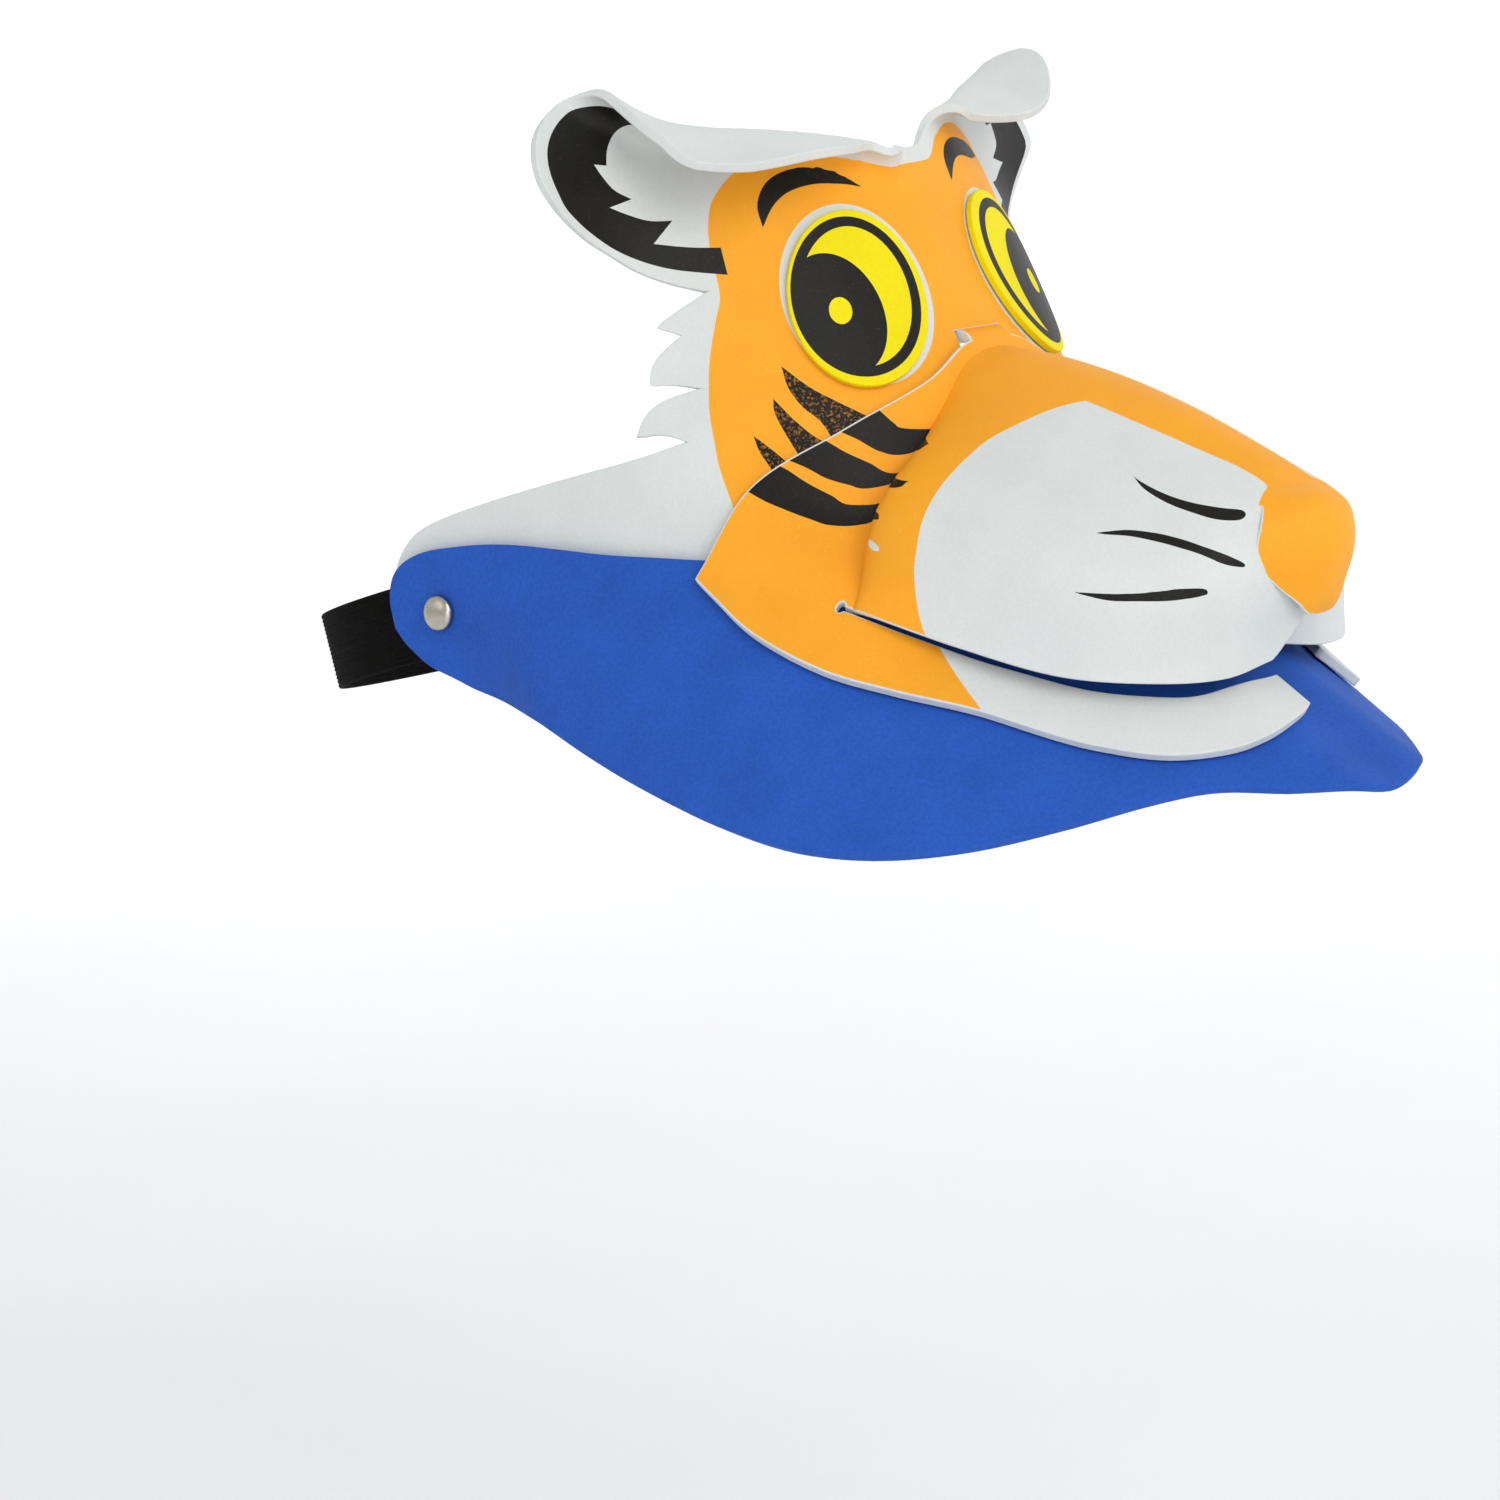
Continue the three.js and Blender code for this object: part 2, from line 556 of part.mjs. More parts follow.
function snoutRow(row) {
  const rows = [
    [0, row.ry, row.rz], [row.sx, row.sy, row.sz], [row.cx, row.cy, row.cz], [row.mx, row.my, row.mz],
  ];
  return (t) => new THREE.Vector3(...along(rows, t, mirrored(rows[1])));
}

// Jaw strip point: along its rows, across from the slit edge (0) to the outer edge (1)
function jawPoint(place, across) {
  const rows = JAW.map((row) => [row.inRow, row.inAcross, row.outRow, row.outAcross]);
  const [inRow, inAcross, outRow, outAcross] = along(rows, place);
  return brimPoint(
    THREE.MathUtils.lerp(inRow, outRow, across), THREE.MathUtils.lerp(inAcross, outAcross, across), LAYER,
  );
}

// Half rows of the upper muzzle from the back edge to the slits beside the nose, each from ridge to mouth
function muzzleRows(columns) {
  const steps = CORNER * STEPS.jaw;
  const flange = [];
  for (let n = 0; n < steps; n += 1) flange.push(flangeRow(n / steps, jawPoint(n / STEPS.jaw, 0), columns));
  return [...flange, ...snoutRows(columns)];
}

function snoutRows(columns) {
  const fold = flangeRow(1, jawPoint(CORNER, 0), columns);
  const sections = SNOUT.map((section) => {
    const at = snoutRow(section);
    return Array.from({ length: columns + 1 }, (_, k) => at((3 * k) / columns));
  });
  const stations = [fold, ...sections];
  const rows = [];
  for (let n = 0; n <= (stations.length - 1) * STEPS.snout; n += 1) {
    rows.push(stations[0].map((_, k) => {
      const column = stations.map((station) => station[k].toArray());
      return new THREE.Vector3(...along(column, n / STEPS.snout));
    }));
  }
  return rows;
}

function fullRow(half, left = half) {
  return [...half.slice(1).reverse().map(mirrorPoint), ...left];
}

// A point of the left half of the snout, pressed back beside the nose
function pressedPoint(point, row, share) {
  const grown = THREE.MathUtils.smoothstep(row, LEFT_CHEEK.fromRow, LEFT_CHEEK.toRow)
    * THREE.MathUtils.smoothstep(share, LEFT_CHEEK.fromShare, LEFT_CHEEK.toShare);
  return new THREE.Vector3(point.x, point.y + LEFT_CHEEK.back * grown, point.z);
}

// Rounds the fold where the snout rises from its flange, fading out at the mouth corner
function roundFold(rows, at) {
  const fade = 0.12;
  const last = rows[at].length - 1;
  rows[at] = rows[at].map((point, k) => {
    const middle = rows[at - 1][k].clone().add(rows[at + 1][k]).multiplyScalar(0.5);
    return point.clone().lerp(middle, 0.5 * Math.min((1 - k / last) / fade, 1));
  });
}

function noseGrid(columns) {
  const rows = NOSE.map((row) => [row.y, row.z, row.half, row.ey, row.ez]);
  const grid = [];
  for (let n = 0; n <= (rows.length - 1) * STEPS.nose; n += 1) {
    const [y, z, half, ey, ez] = along(rows, n / STEPS.nose);
    const point = (a) => new THREE.Vector3(half * a, y + (ey - y) * a * a, z + (ez - z) * a * a);
    grid.push(fullRow(Array.from({ length: columns + 1 }, (_, k) => point(k / columns))));
  }
  return grid;
}

// A jaw strip, whose part past the mouth corner may be cut shorter and narrower
function jawGrid(reach, narrower) {
  const last = JAW.length - 1;
  const grid = [];
  for (let n = 0; n <= last * STEPS.jaw; n += 1) {
    const past = Math.max(n / STEPS.jaw - CORNER, 0);
    const place = n / STEPS.jaw - past * (1 - reach);
    const wide = 1 - (narrower * past) / (last - CORNER);
    const row = [];
    for (let k = 0; k <= STEPS.jawAcross; k += 1) row.push(jawPoint(place, (wide * k) / STEPS.jawAcross));
    grid.push(row);
  }
  return grid;
}

function muzzle() {
  const columns = 4 * STEPS.around;
  const upper = muzzleRows(columns);
  roundFold(upper, CORNER * STEPS.jaw);
  const pressedRow = (row, n) => row.map((point, k) => pressedPoint(point, n / STEPS.snout, k / columns));
  const leftUpper = upper.map(pressedRow);
  const slitRow = upper[upper.length - 1];
  const noseColumns = Math.round(columns / 3);
  const front = snoutRow({ ...CHEEK_FRONT, ry: NOSE[0].y, rz: NOSE[0].z });
  const cheekSteps = 3;
  const cheek = [];
  const leftCheek = [];
  for (let n = 0; n <= cheekSteps; n += 1) {
    const row = [];
    for (let k = noseColumns; k <= columns; k += 1) {
      row.push(slitRow[k].clone().lerp(front((3 * k) / columns), n / cheekSteps));
    }
    cheek.push(row);
    leftCheek.push(row.map((point, k) => pressedPoint(point, LEFT_CHEEK.toRow, (k + noseColumns) / columns)));
  }
  const nose = noseGrid(noseColumns);
  nose[0] = fullRow(slitRow.slice(0, noseColumns + 1));
  const leftJaw = jawGrid(LEFT_JAW.reach, LEFT_JAW.narrower);
  const rightJaw = mirrorGrid(jawGrid(1, 0));
  const snout = upper.map((row, n) => fullRow(row, leftUpper[n]));
  return sheetSolid([snout, nose, leftCheek, mirrorGrid(cheek), leftJaw, rightJaw], FOAM);
}

// The strap runs round the back of the head from rivet to rivet, sloping down behind the ears
function elasticStrap() {
  const half = STRAP_LOOP.map((row) => [row.x, row.back]);
  const loop = [...half, ...half.slice(0, -1).reverse().map(mirrored)];
  const [fall, run] = [Math.sin(STRAP.drop), Math.cos(STRAP.drop)];
  const wide = new THREE.Vector3(0, fall, run).multiplyScalar(STRAP.width / 2);
  const base = facePoint(RIVET.u, RIVET.v);
  const grid = [];
  for (let n = 0; n <= (loop.length - 1) * STEPS.strap; n += 1) {
    const [x, back] = along(loop, n / STEPS.strap);
    const point = new THREE.Vector3(x, base.y + back * run, base.z - back * fall);
    grid.push([point.clone().sub(wide), point, point.clone().add(wide)]);
  }
  return cut(sheetSolid([grid], STRAP.thick), rivetBore(-1), rivetBore(1));
}

function piece(name, geometry, colour, roughness, metalness = 0) {
  const material = new THREE.MeshStandardMaterial({ color: colour, roughness, metalness });
  const mesh = new THREE.Mesh(geometry, material);
  mesh.name = name;
  return mesh;
}

const group = new THREE.Group();
group.add(piece("face_panel", facePanel(), 0xfcb030, 0.7));
group.add(piece("visor_brim", visorBrim(), 0x2c5ab4, 0.75));
group.add(piece("muzzle", muzzle(), 0xe1e5e0, 0.7));
group.add(piece("eye_right", eye(-1), 0xf7e600, 0.6));
group.add(piece("eye_left", eye(1), 0xf7e600, 0.6));
group.add(piece("rivet_right", rivet(-1), 0xaaa08c, 0.25, 1));
group.add(piece("rivet_left", rivet(1), 0xaaa08c, 0.25, 1));
group.add(piece("elastic_strap", elasticStrap(), 0x0f0e0c, 0.9));

export default group;
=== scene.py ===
"""Looks of a foam tiger visor: printed foam sheets, raised eyes, two rivets and a ribbed elastic strap.

Sizes are millimetres in the tables and become metres when a mesh is made.
The face looks along -Y, +Z is up, and the origin lies midway between the two rivets.
"""

import math

import bpy
import numpy as np
from mathutils import Matrix, Vector
from mathutils.geometry import delaunay_2d_cdt


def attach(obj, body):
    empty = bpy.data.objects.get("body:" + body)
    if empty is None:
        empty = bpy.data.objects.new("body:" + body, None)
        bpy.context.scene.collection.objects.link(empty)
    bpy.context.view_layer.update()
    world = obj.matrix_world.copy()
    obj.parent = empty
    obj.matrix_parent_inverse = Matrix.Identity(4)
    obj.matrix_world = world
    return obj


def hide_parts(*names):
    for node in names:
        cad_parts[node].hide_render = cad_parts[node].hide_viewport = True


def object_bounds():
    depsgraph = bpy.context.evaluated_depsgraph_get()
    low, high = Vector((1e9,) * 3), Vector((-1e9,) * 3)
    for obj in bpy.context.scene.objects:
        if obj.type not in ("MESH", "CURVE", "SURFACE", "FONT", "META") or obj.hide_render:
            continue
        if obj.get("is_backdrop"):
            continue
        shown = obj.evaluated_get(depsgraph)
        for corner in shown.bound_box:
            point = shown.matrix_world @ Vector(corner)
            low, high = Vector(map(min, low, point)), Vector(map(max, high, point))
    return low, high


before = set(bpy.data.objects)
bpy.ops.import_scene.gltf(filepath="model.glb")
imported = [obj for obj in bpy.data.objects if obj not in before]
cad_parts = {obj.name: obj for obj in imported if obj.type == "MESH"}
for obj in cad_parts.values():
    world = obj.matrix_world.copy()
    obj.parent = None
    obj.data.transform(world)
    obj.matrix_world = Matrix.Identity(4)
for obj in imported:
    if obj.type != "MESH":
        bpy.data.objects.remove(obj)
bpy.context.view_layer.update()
MM = 0.001

# Driving dimensions
FOAM = 2.0
GAP = 0.3
LAYER = FOAM + GAP + 0.15
SOFT_EDGE = 0.35
OUTLINE_STEP = 1.2
PRINT_STEP = 0.8
FINE_STEP = 0.6
FACE_RADIUS = 64.0
FACE_BEND = math.radians(82)
FACE_LEAN = math.radians(31)
FACE_CURVED = FACE_RADIUS * FACE_BEND
SLOT = np.array([0, -82, 56.5])
SLOT_HALF = 7.0
SLOT_LOW, SLOT_HIGH = -2.1, 2.2
RIVET = {"u": 135, "v": -6.9, "cap": 3.6, "rim": 0.35, "dome": 1.45, "post": 1.5, "play": 1.0, "bevel": 0.12}

# Half section of the rivet's washer: radius, and height above its inner end
WASHER = [(0, 0), (1.1, 0), (1.3, 0.25), (3.5, 0.1), (4.0, 0.3), (4.0, 0.6)]
DOME_ANGLES = np.radians([0, 12, 26, 40, 54, 68, 80, 90])
BORE_RADIUS = RIVET["post"] + 0.2
EYE = {"half_wide": 14.0, "half_tall": 18.2, "tilt": math.radians(15), "thick": 1.5}
EYE_MIDDLE = {-1: (25.5, 12.8), 1: (23.6, 13.3)}
STRAP = {"width": 16.0, "thick": 1.2, "drop": math.radians(19), "ribs": 18, "rib": 0.22}
STRAP_STATIONS = 121
RIB_CUTS = 6

BACK = np.array([0, math.cos(FACE_LEAN), -math.sin(FACE_LEAN)])
UP = np.array([0, math.sin(FACE_LEAN), math.cos(FACE_LEAN)])

# Outward curl of the ears: where it starts, its radius, and the heights that it grows between
EAR_CURL = {"start": 40.0, "radius": 66.0, "low": 12.0, "high": 50.0}

# Forward roll of each ear top: its line on the pattern, which bends up past the knee, the radius of the roll,
# its angle at both ends, and where it begins
EAR_ROLLS = {
    -1: {"u": 19.4, "v": 38.4, "slope": 0.419, "bend": 0.025, "knee": 49.2, "radius": 5.1, "inner": 2.2,
         "outer": 2.4, "outer_u": 61.8, "start": 5},
    1: {"u": 19, "v": 46.1, "slope": 0.326, "bend": 0.001, "knee": 56, "radius": 3.5, "inner": 2.59,
        "outer": 1.22, "outer_u": 69.6, "start": 10},
}
ROLL_START = 8
FOOT_ROUNDS = 12

# Half outline of the face panel on its flat pattern: smooth strokes with sharp corners between them
FACE_START = (0, 41.5)
FACE_HALF = [
    [(6, 42.1), (10, 45.2), (12.2, 50), (13.9, 56), (18.1, 62.5), (24.5, 70.5), (34.4, 76.1), (44, 78.7),
     (51, 77.5), (57, 73.2), (62.3, 69.8), (67.6, 68.6), (72.3, 66.2), (75.8, 63.4), (78.4, 59.4),
     (79.8, 54.4), (79.1, 49.6), (76.4, 45.2), (73, 41.2), (69.3, 37.7), (65.3, 33.7), (60, 29.5),
     (52.3, 24.5)],
    [(60.7, 22.8), (64.9, 21.8)],
    [(62, 19.9), (60.6, 18.4)],
    [(66.3, 16.6), (68.7, 14.9), (69.9, 12.5)],
    [(65.6, 10.6), (59.9, 7)],
    [(68.6, 8.1), (73.4, 7), (76.5, 4.3)],
    [(73, 3.3), (70, 1.4), (67.2, -1.3)],
    [(73.6, -0.6), (82.3, 0.9), (99.9, 4.9), (118.3, 8.7), (130.9, 10.5), (137.5, 9.8), (142.6, 6.8),
     (146.6, 1.6), (148, -4.6), (146.2, -10.4), (141.4, -14.8), (134, -16.8), (120, -17.2), (105, -20.5),
     (90, -26.5), (75, -34.5), (60, -41.5), (42, -47), (20, -49.6), (0, -50)],
]

# Brim rows: the inner edge u, v on the face pattern and the outer edge x, y, z
BRIM = [
    (0, -42.6, 0, -184.5, -19.5),
    (8, -42.4, 11.3, -182.3, -18),
    (16, -42, 20.6, -175.2, -18.1),
    (25, -41, 30.6, -165.4, -17.8),
    (34, -39.5, 41.1, -157.3, -19.9),
    (44, -37, 54.3, -148.5, -23.4),
    (54, -33.5, 69.1, -137.7, -26.7),
    (63, -29.5, 81.4, -125.2, -28.1),
    (72, -25.5, 88.3, -110.2, -27.7),
    (82, -20, 88, -91, -26.1),
    (92, -14.5, 86, -71, -22.9),
    (102, -8.7, 83, -53, -19.4),
    (112, -3, 80, -37.5, -15.7),
    (120, 0.8, 76.8, -30, -15.2),
    (127, 3.5, 73.5, -20.8, -14.6),
]

# Brim rows of the flat horn round the rivet: inner and outer edge on the face pattern
HORN = [
    (132, 5.2, 134.5, -23.6),
    (136, 5.9, 139, -19),
    (139.7, 5.8, 142.6, -15.2),
    (142.7, 4.7, 145, -11.1),
    (144.9, 2.4, 146.4, -8),
    (146.2, -0.2, 147.2, -4.7),
]

# Strap stations behind the rivet: half width of the loop and distance back along its slope
STRAP_LOOP = [
    (66.1, -8), (67.3, 0.5), (68.4, 9), (68.9, 22), (65.4, 37), (57, 52), (43, 65), (23, 73), (0, 76),
]

# Muzzle flange on the face panel: u, v of the back edge and of the fold, from ridge to mouth corner
FLANGE = [
    (0, -2.2, 0, -4.5),
    (7.6, -2.2, 9, -6.5),
    (20, -7.8, 17, -13.5),
    (39.6, -11.7, 26, -22),
    (59.4, -15.4, 38, -31.5),
]

# Tab at the middle of the flange, which turns in through the slot: height up the panel and out of it
TAB = [(-2.2, LAYER), (-0.5, 2.1), (0.7, 0.8), (1.0, -0.8), (1.0, -2.6)]
TAB_SHARE = 0.16

# Snout sections from the fold to the slits beside the nose: ridge y, z, shoulder, cheek and mouth edge
SNOUT = [
    (-98, 53.6, 23.5, -98, 44, 46, -97, 29, 54.5, -101, 9.8),
    (-113, 51.2, 23, -113, 42, 45, -114, 26, 50, -119, 5.6),
    (-129, 47.3, 21, -129, 38.4, 40.5, -131, 23.2, 42, -137, 1.4),
    (-143, 42.8, 18, -143, 34.8, 33.5, -146, 20.8, 31, -151, 0.4),
    (-154, 38, 14.5, -154.5, 33, 24.5, -157, 19.4, 19, -158, 0.6),
    (-160, 34.6, 11.4, -160, 32.4, 15.5, -162.2, 19.4, 6.6, -159.6, 2.6),
]
CHEEK_FRONT = (-160, 34.6, 9.3, -162, 29, 7, -163.8, 20, 1.4, -163, 11)

# The left cheek is pressed back beside the nose: how far, and the rows and shares that it grows over
LEFT_CHEEK = {"back": 8.0, "rows": (6.5, 9.0), "shares": (0.4, 0.9)}

# Nose flap rows: centre y, z and its edge half width, y and z
NOSE = [
    (-160, 34.6, 11.4, -160, 32.4),
    (-165, 33.8, 12.2, -161.2, 31.2),
    (-168.2, 31.6, 13.6, -161.8, 29.2),
    (-169.4, 27.2, 14.8, -161.8, 25.6),
    (-169.2, 22.6, 14, -162.4, 21.6),
    (-168.2, 18.2, 10.4, -164, 17.8),
    (-167, 14.2, 6.4, -165.6, 14.4),
    (-166, 12, 4, -165.8, 12.2),
]

# Jaw strip on the brim: brim row and fraction across it, for the slit edge and the outer edge
JAW = [
    (8.15, 0.05, 8.3, 0.09),
    (7.4, 0.1, 8.05, 0.16),
    (6.6, 0.15, 7.6, 0.28),
    (5.9, 0.22, 6.75, 0.41),
    (5.2, 0.34, 5.9, 0.5),
    (4.41, 0.49, 5.09, 0.61),
    (3.5, 0.63, 4.08, 0.81),
    (2.5, 0.685, 3.04, 0.9),
    (1.3, 0.66, 1.67, 0.84),
    (0.12, 0.635, 0.16, 0.74),
]

# The left jaw strip: share of its length that it keeps past the mouth corner, and of its width that it loses
LEFT_JAW = {"reach": 0.6, "narrower": 0.3}

# Places on the muzzle's pattern: rows 0 to 3 lie on the panel, 3 to 9 on the snout, then nose and cheeks
FOLD_ROW = 3
FOLD_ROUND = 0.5
FOLD_FADE = 0.12
SLIT_ROW = 9
CHEEK_ROWS = 0.6
NOSE_ROWS = 2.45
NOSE_SHARE = 1 / 3
ROW_MM = 14.0
SHARE_MM = 90.0
JAW_MM = 12.0
SLIT_HALF = 0.4
SLIT_OPENS = 2.0
CORNER_HOLE = {"row": 2.78, "radius": 1.3}
TAB_CUT = 0.98
TAB_CREASE = 14.0
CREASE_INSET = 1.0

# Printed shapes of one half of the face, as strokes on the pattern; the far side of the orange ground has its
# own line at the top and then shares the near side's points
ORANGE_HALF = [
    (15.4, 42.3), (21.5, 44.4), (26.1, 45.6), (31.8, 46.4), (36.2, 45.9), (40.6, 44.3), (45.1, 41.2),
    (47.7, 37), (49.4, 31.8), (50, 27.7), (51.1, 22.4), (53.7, 18.3), (57.4, 11.9), (61.1, 3.1), (62.6, -3),
    (63.8, -9), (64.3, -18),
]
ORANGE_SHARED = 4
ORANGE_MIDDLE = [
    (-6.9, 38.9), (-1.7, 38.3), (6.1, 38.7), (9.2, 40), (13.9, 44.2), (20.1, 47.5), (23.7, 48.4),
    (29, 48.2),
]
ORANGE_FOOT = (56, -44)
EAR_BLACK = [
    [(30, 62.4), (37, 67), (44, 69.8), (50, 69.8), (56, 68.2), (61, 67.4), (66.3, 66.6), (71.6, 63.8),
     (75.6, 59.6), (77.4, 54.6), (77.2, 49), (74.6, 44.9), (71.3, 41.2), (67.6, 37.7), (62.5, 33.9),
     (57, 30.6), (47.9, 26.2)],
    [(47.1, 31.8)],
    [(52.8, 33.9), (59.8, 37)],
    [(54.3, 40.1)],
    [(59, 41.5), (63.4, 44.1), (66.4, 46.1)],
    [(61, 46.5)],
    [(64.1, 49.1), (65.5, 51.9), (66.2, 54.8)],
    [(63.6, 54)],
    [(62, 57.1), (59.6, 59.7), (57.2, 61.4), (54, 62.4), (49, 63), (43, 62.8), (36, 61.6), (30, 62.4)],
]
BROW_NEAR = [
    [(37.7, 32.7)],
    [(36.9, 37.5), (33.4, 41.2), (28, 42.4), (22.8, 41.6), (18.2, 39.1), (14.2, 35)],
    [(18.2, 36.5), (24.4, 38), (30, 37.9), (34.1, 36.1), (37.7, 32.7)],
]
BROW_FAR = [
    [(12.8, 33.9)],
    [(13.7, 39.1), (17.1, 42.7), (23.1, 44.6), (31.9, 44.5), (37.7, 42.7)],
    [(30.1, 40.7), (22.5, 40.4), (17.5, 38.4), (12.8, 33.9)],
]
FACE_STRIPES = [
    [[(41.5, -0.8), (37.4, -5.6), (33.1, -10.2)], [(34, -16), (41, -16)],
     [(42.1, -8.4), (44.4, -3.8), (45.5, 0.7), (45.1, 5.2)]],
    [[(47.1, -5.1), (45, -9.4), (43, -12.2)], [(43, -17), (48, -17)],
     [(49.4, -8.1), (49.8, -2.9), (49, -0.2)]],
    [[(53.2, -9.2), (51.1, -13.4)], [(51, -18), (55, -18)], [(54.6, -13.6), (55.4, -8.9), (55.3, -5.5)]],
]

# Printed shapes of one half of the muzzle, as strokes of row and share
CHEEK_WHITE = [
    [(4.68, 1.0), (4.62, 0.94), (4.6, 0.82), (4.62, 0.73), (4.6, 0.64), (4.58, 0.54), (4.6, 0.44),
     (4.66, 0.37), (4.9, 0.27), (5.12, 0.2), (5.3, 0.155)],
    [(6.22, 0.155), (7.18, 0.148), (7.8, 0.145), (8.64, 0.175), (8.86, 0.25), (8.97, 0.335)],
    [(9.8, 0.335)],
    [(9.8, 1.0)],
    [(4.68, 1.0)],
]
JAW_WHITE = [
    [(4.2, 0)],
    [(4.24, 0.07), (4.53, 0.44), (4.96, 0.95), (5.0, 1.05)],
    [(9.2, 1.05)],
    [(9.2, 0)],
    [(4.2, 0)],
]
MUZZLE_STRIPES = [
    [[(0, 0.52), (1.0, 0.538), (1.48, 0.544), (2.5, 0.515), (3.62, 0.464), (3.9, 0.456)],
     [(3.72, 0.5), (3.0, 0.56), (2.22, 0.62), (1.56, 0.628), (0.68, 0.612), (-0.3, 0.6)], [(-0.3, 0.515)]],
    [[(0.18, 0.64), (0.9, 0.656), (1.66, 0.668), (2.4, 0.68), (3.2, 0.625), (4.16, 0.565)],
     [(4.02, 0.6), (3.1, 0.67), (2.2, 0.736), (1.72, 0.74), (1.16, 0.736), (0.52, 0.72), (-0.3, 0.705)],
     [(-0.3, 0.63)]],
    [[(0.2, 0.735), (0.96, 0.76), (1.58, 0.776), (2.08, 0.788), (3.0, 0.75), (3.9, 0.69), (4.04, 0.7)],
     [(3.3, 0.77), (2.54, 0.828), (1.94, 0.848), (1.48, 0.844), (0.98, 0.836), (0.42, 0.824), (-0.3, 0.8)],
     [(-0.3, 0.725)]],
]
WHISKERS = [
    [[(6.52, 0.34), (6.7, 0.352), (7.1, 0.368), (7.48, 0.376), (7.88, 0.376), (8.46, 0.372), (8.66, 0.396),
      (8.5, 0.42), (7.98, 0.428), (7.56, 0.416), (7.18, 0.4), (6.76, 0.372), (6.52, 0.34)]],
    [[(6.52, 0.56), (6.62, 0.548), (6.88, 0.524), (7.2, 0.516), (7.52, 0.52), (7.88, 0.536), (8.32, 0.56),
      (8.72, 0.592), (8.72, 0.608), (8.32, 0.596), (7.92, 0.568), (7.56, 0.552), (7.24, 0.544), (6.92, 0.544),
      (6.64, 0.556), (6.52, 0.56)]],
    [[(6.38, 0.748), (6.76, 0.736), (7.06, 0.724), (7.36, 0.708), (7.64, 0.692), (7.96, 0.684), (8.04, 0.696),
      (7.98, 0.708), (7.62, 0.728), (7.32, 0.74), (7.04, 0.748), (6.76, 0.756), (6.5, 0.752), (6.38, 0.748)]],
]
WHITE_DOT = {"row": 4.02, "share": 0.78, "long": 2.0, "radius": 1.1}

# Ovals printed on the right (-1) and left (1) eye: centre outward and upward, half width, half height, tilt
EYE_RING = {-1: ((0.5, 0.2), 13.2, 16.8), 1: ((0.8, -0.2), 12.9, 16.6)}
EYE_RING_WIDTH = 2.1
PUPIL_TILT = math.radians(-12)
EYE_PUPIL = {-1: ((5.3, -3.5), 9.7, 13.0, PUPIL_TILT), 1: ((4.2, -4.2), 9.7, 13.0, PUPIL_TILT)}
EYE_LIGHT = {-1: ((4.4, -2.7), 2.3, 2.8), 1: ((5.1, -3.2), 2.3, 2.8)}

# The pupil stops this far inside the ring's outer edge
PUPIL_INSET = 0.3

# Bare foam that the face print leaves round each eye, on the face pattern
EYE_BARE = ((24.5, 13.8), 16.0, 19.3, math.radians(8))

# Camera fitted to the photograph: bearing, height angle, place and lens
CAMERA = {
    "bearing": math.radians(48), "above": math.radians(13), "place": (-0.696, -0.6474, 0.1784),
    "lens": 108.0, "sensor": 36.0, "near": 0.05,
}
FLOOR_DROP = 0.25
FLOOR_RINGS = [(1.5, 0), (2.4, 0.06), (3.0, 0.3), (3.3, 0.8), (3.4, 2.4)]
FLOOR_SIDES = 64

# Lights in metres and watts: place, width of the disc, power and aim
HAT, BACKDROP = (0, -0.06, 0), (2.6, 2.4, -0.1)
LIGHTS = {
    "key_light": ((-0.7, -1.9, 1.4), 1.6, 17, HAT),
    "front_light": ((-1.5, -1.5, 0.15), 1.2, 5, HAT),
    "side_light": ((-1.7, 0.3, 0.9), 1.2, 2.5, HAT),
    "fill_light": ((1.5, -1.0, 0.8), 1.6, 7, HAT),
    "back_light": ((0.8, 1.5, 1.4), 1.2, 6, HAT),
    "backdrop_light": ((1.2, 1.1, 1.6), 1.8, 26, BACKDROP),
}
SKY, SKY_STRENGTH = (0.96, 0.97, 1.0, 1), 0.6


def catmull(a, b, c, d, f):
    return 0.5 * (2 * b + (c - a) * f + (2 * a - 5 * b + 4 * c - d) * f * f + (3 * b - a - 3 * c + d) * f**3)


def padded(rows, before=None):
    first = 2 * rows[:1] - rows[1:2] if before is None else before
    return np.concatenate([first, rows, 2 * rows[-1:] - rows[-2:-1]])


def along(rows, places, before=None):
    """Points of a smooth curve through the rows; the row before the first is given or extended."""
    rows = np.asarray(rows, float)
    places = np.atleast_1d(np.asarray(places, float))
    line = padded(rows, None if before is None else np.asarray(before, float)[None])
    i = np.clip(np.floor(places), 0, len(rows) - 2).astype(int)
    return catmull(line[i], line[i + 1], line[i + 2], line[i + 3], (places - i)[:, None])


def net_points(net, rows, columns):
    """Smooth points of a net of points at fractional rows and columns."""
    grid = padded(padded(net).swapaxes(0, 1)).swapaxes(0, 1)
    i = np.clip(np.floor(rows), 0, net.shape[0] - 2).astype(int)
    j = np.clip(np.floor(columns), 0, net.shape[1] - 2).astype(int)
    down, across = (rows - i)[:, None], (columns - j)[:, None]
    lines = [catmull(*(grid[i + k, j + m] for m in range(4)), across) for k in range(4)]
    return catmull(*lines, down)


def mirrored(points):
    return np.asarray(points, float) * np.array([-1] + [1] * (np.shape(points)[-1] - 1))


def smooth_line(points, step):
    """A smooth line through the points, cut into even steps."""
    fine_cuts = 16
    points = np.asarray(points, float)
    fine = points
    if len(points) > 2:
        fine = along(points, np.linspace(0, len(points) - 1, fine_cuts * (len(points) - 1) + 1))
    run = np.concatenate([[0], np.cumsum(np.linalg.norm(np.diff(fine, axis=0), axis=1))])
    even = np.linspace(0, run[-1], max(2, math.ceil(run[-1] / step) + 1))
    return np.stack([np.interp(even, run, fine[:, k]) for k in range(2)], axis=1)


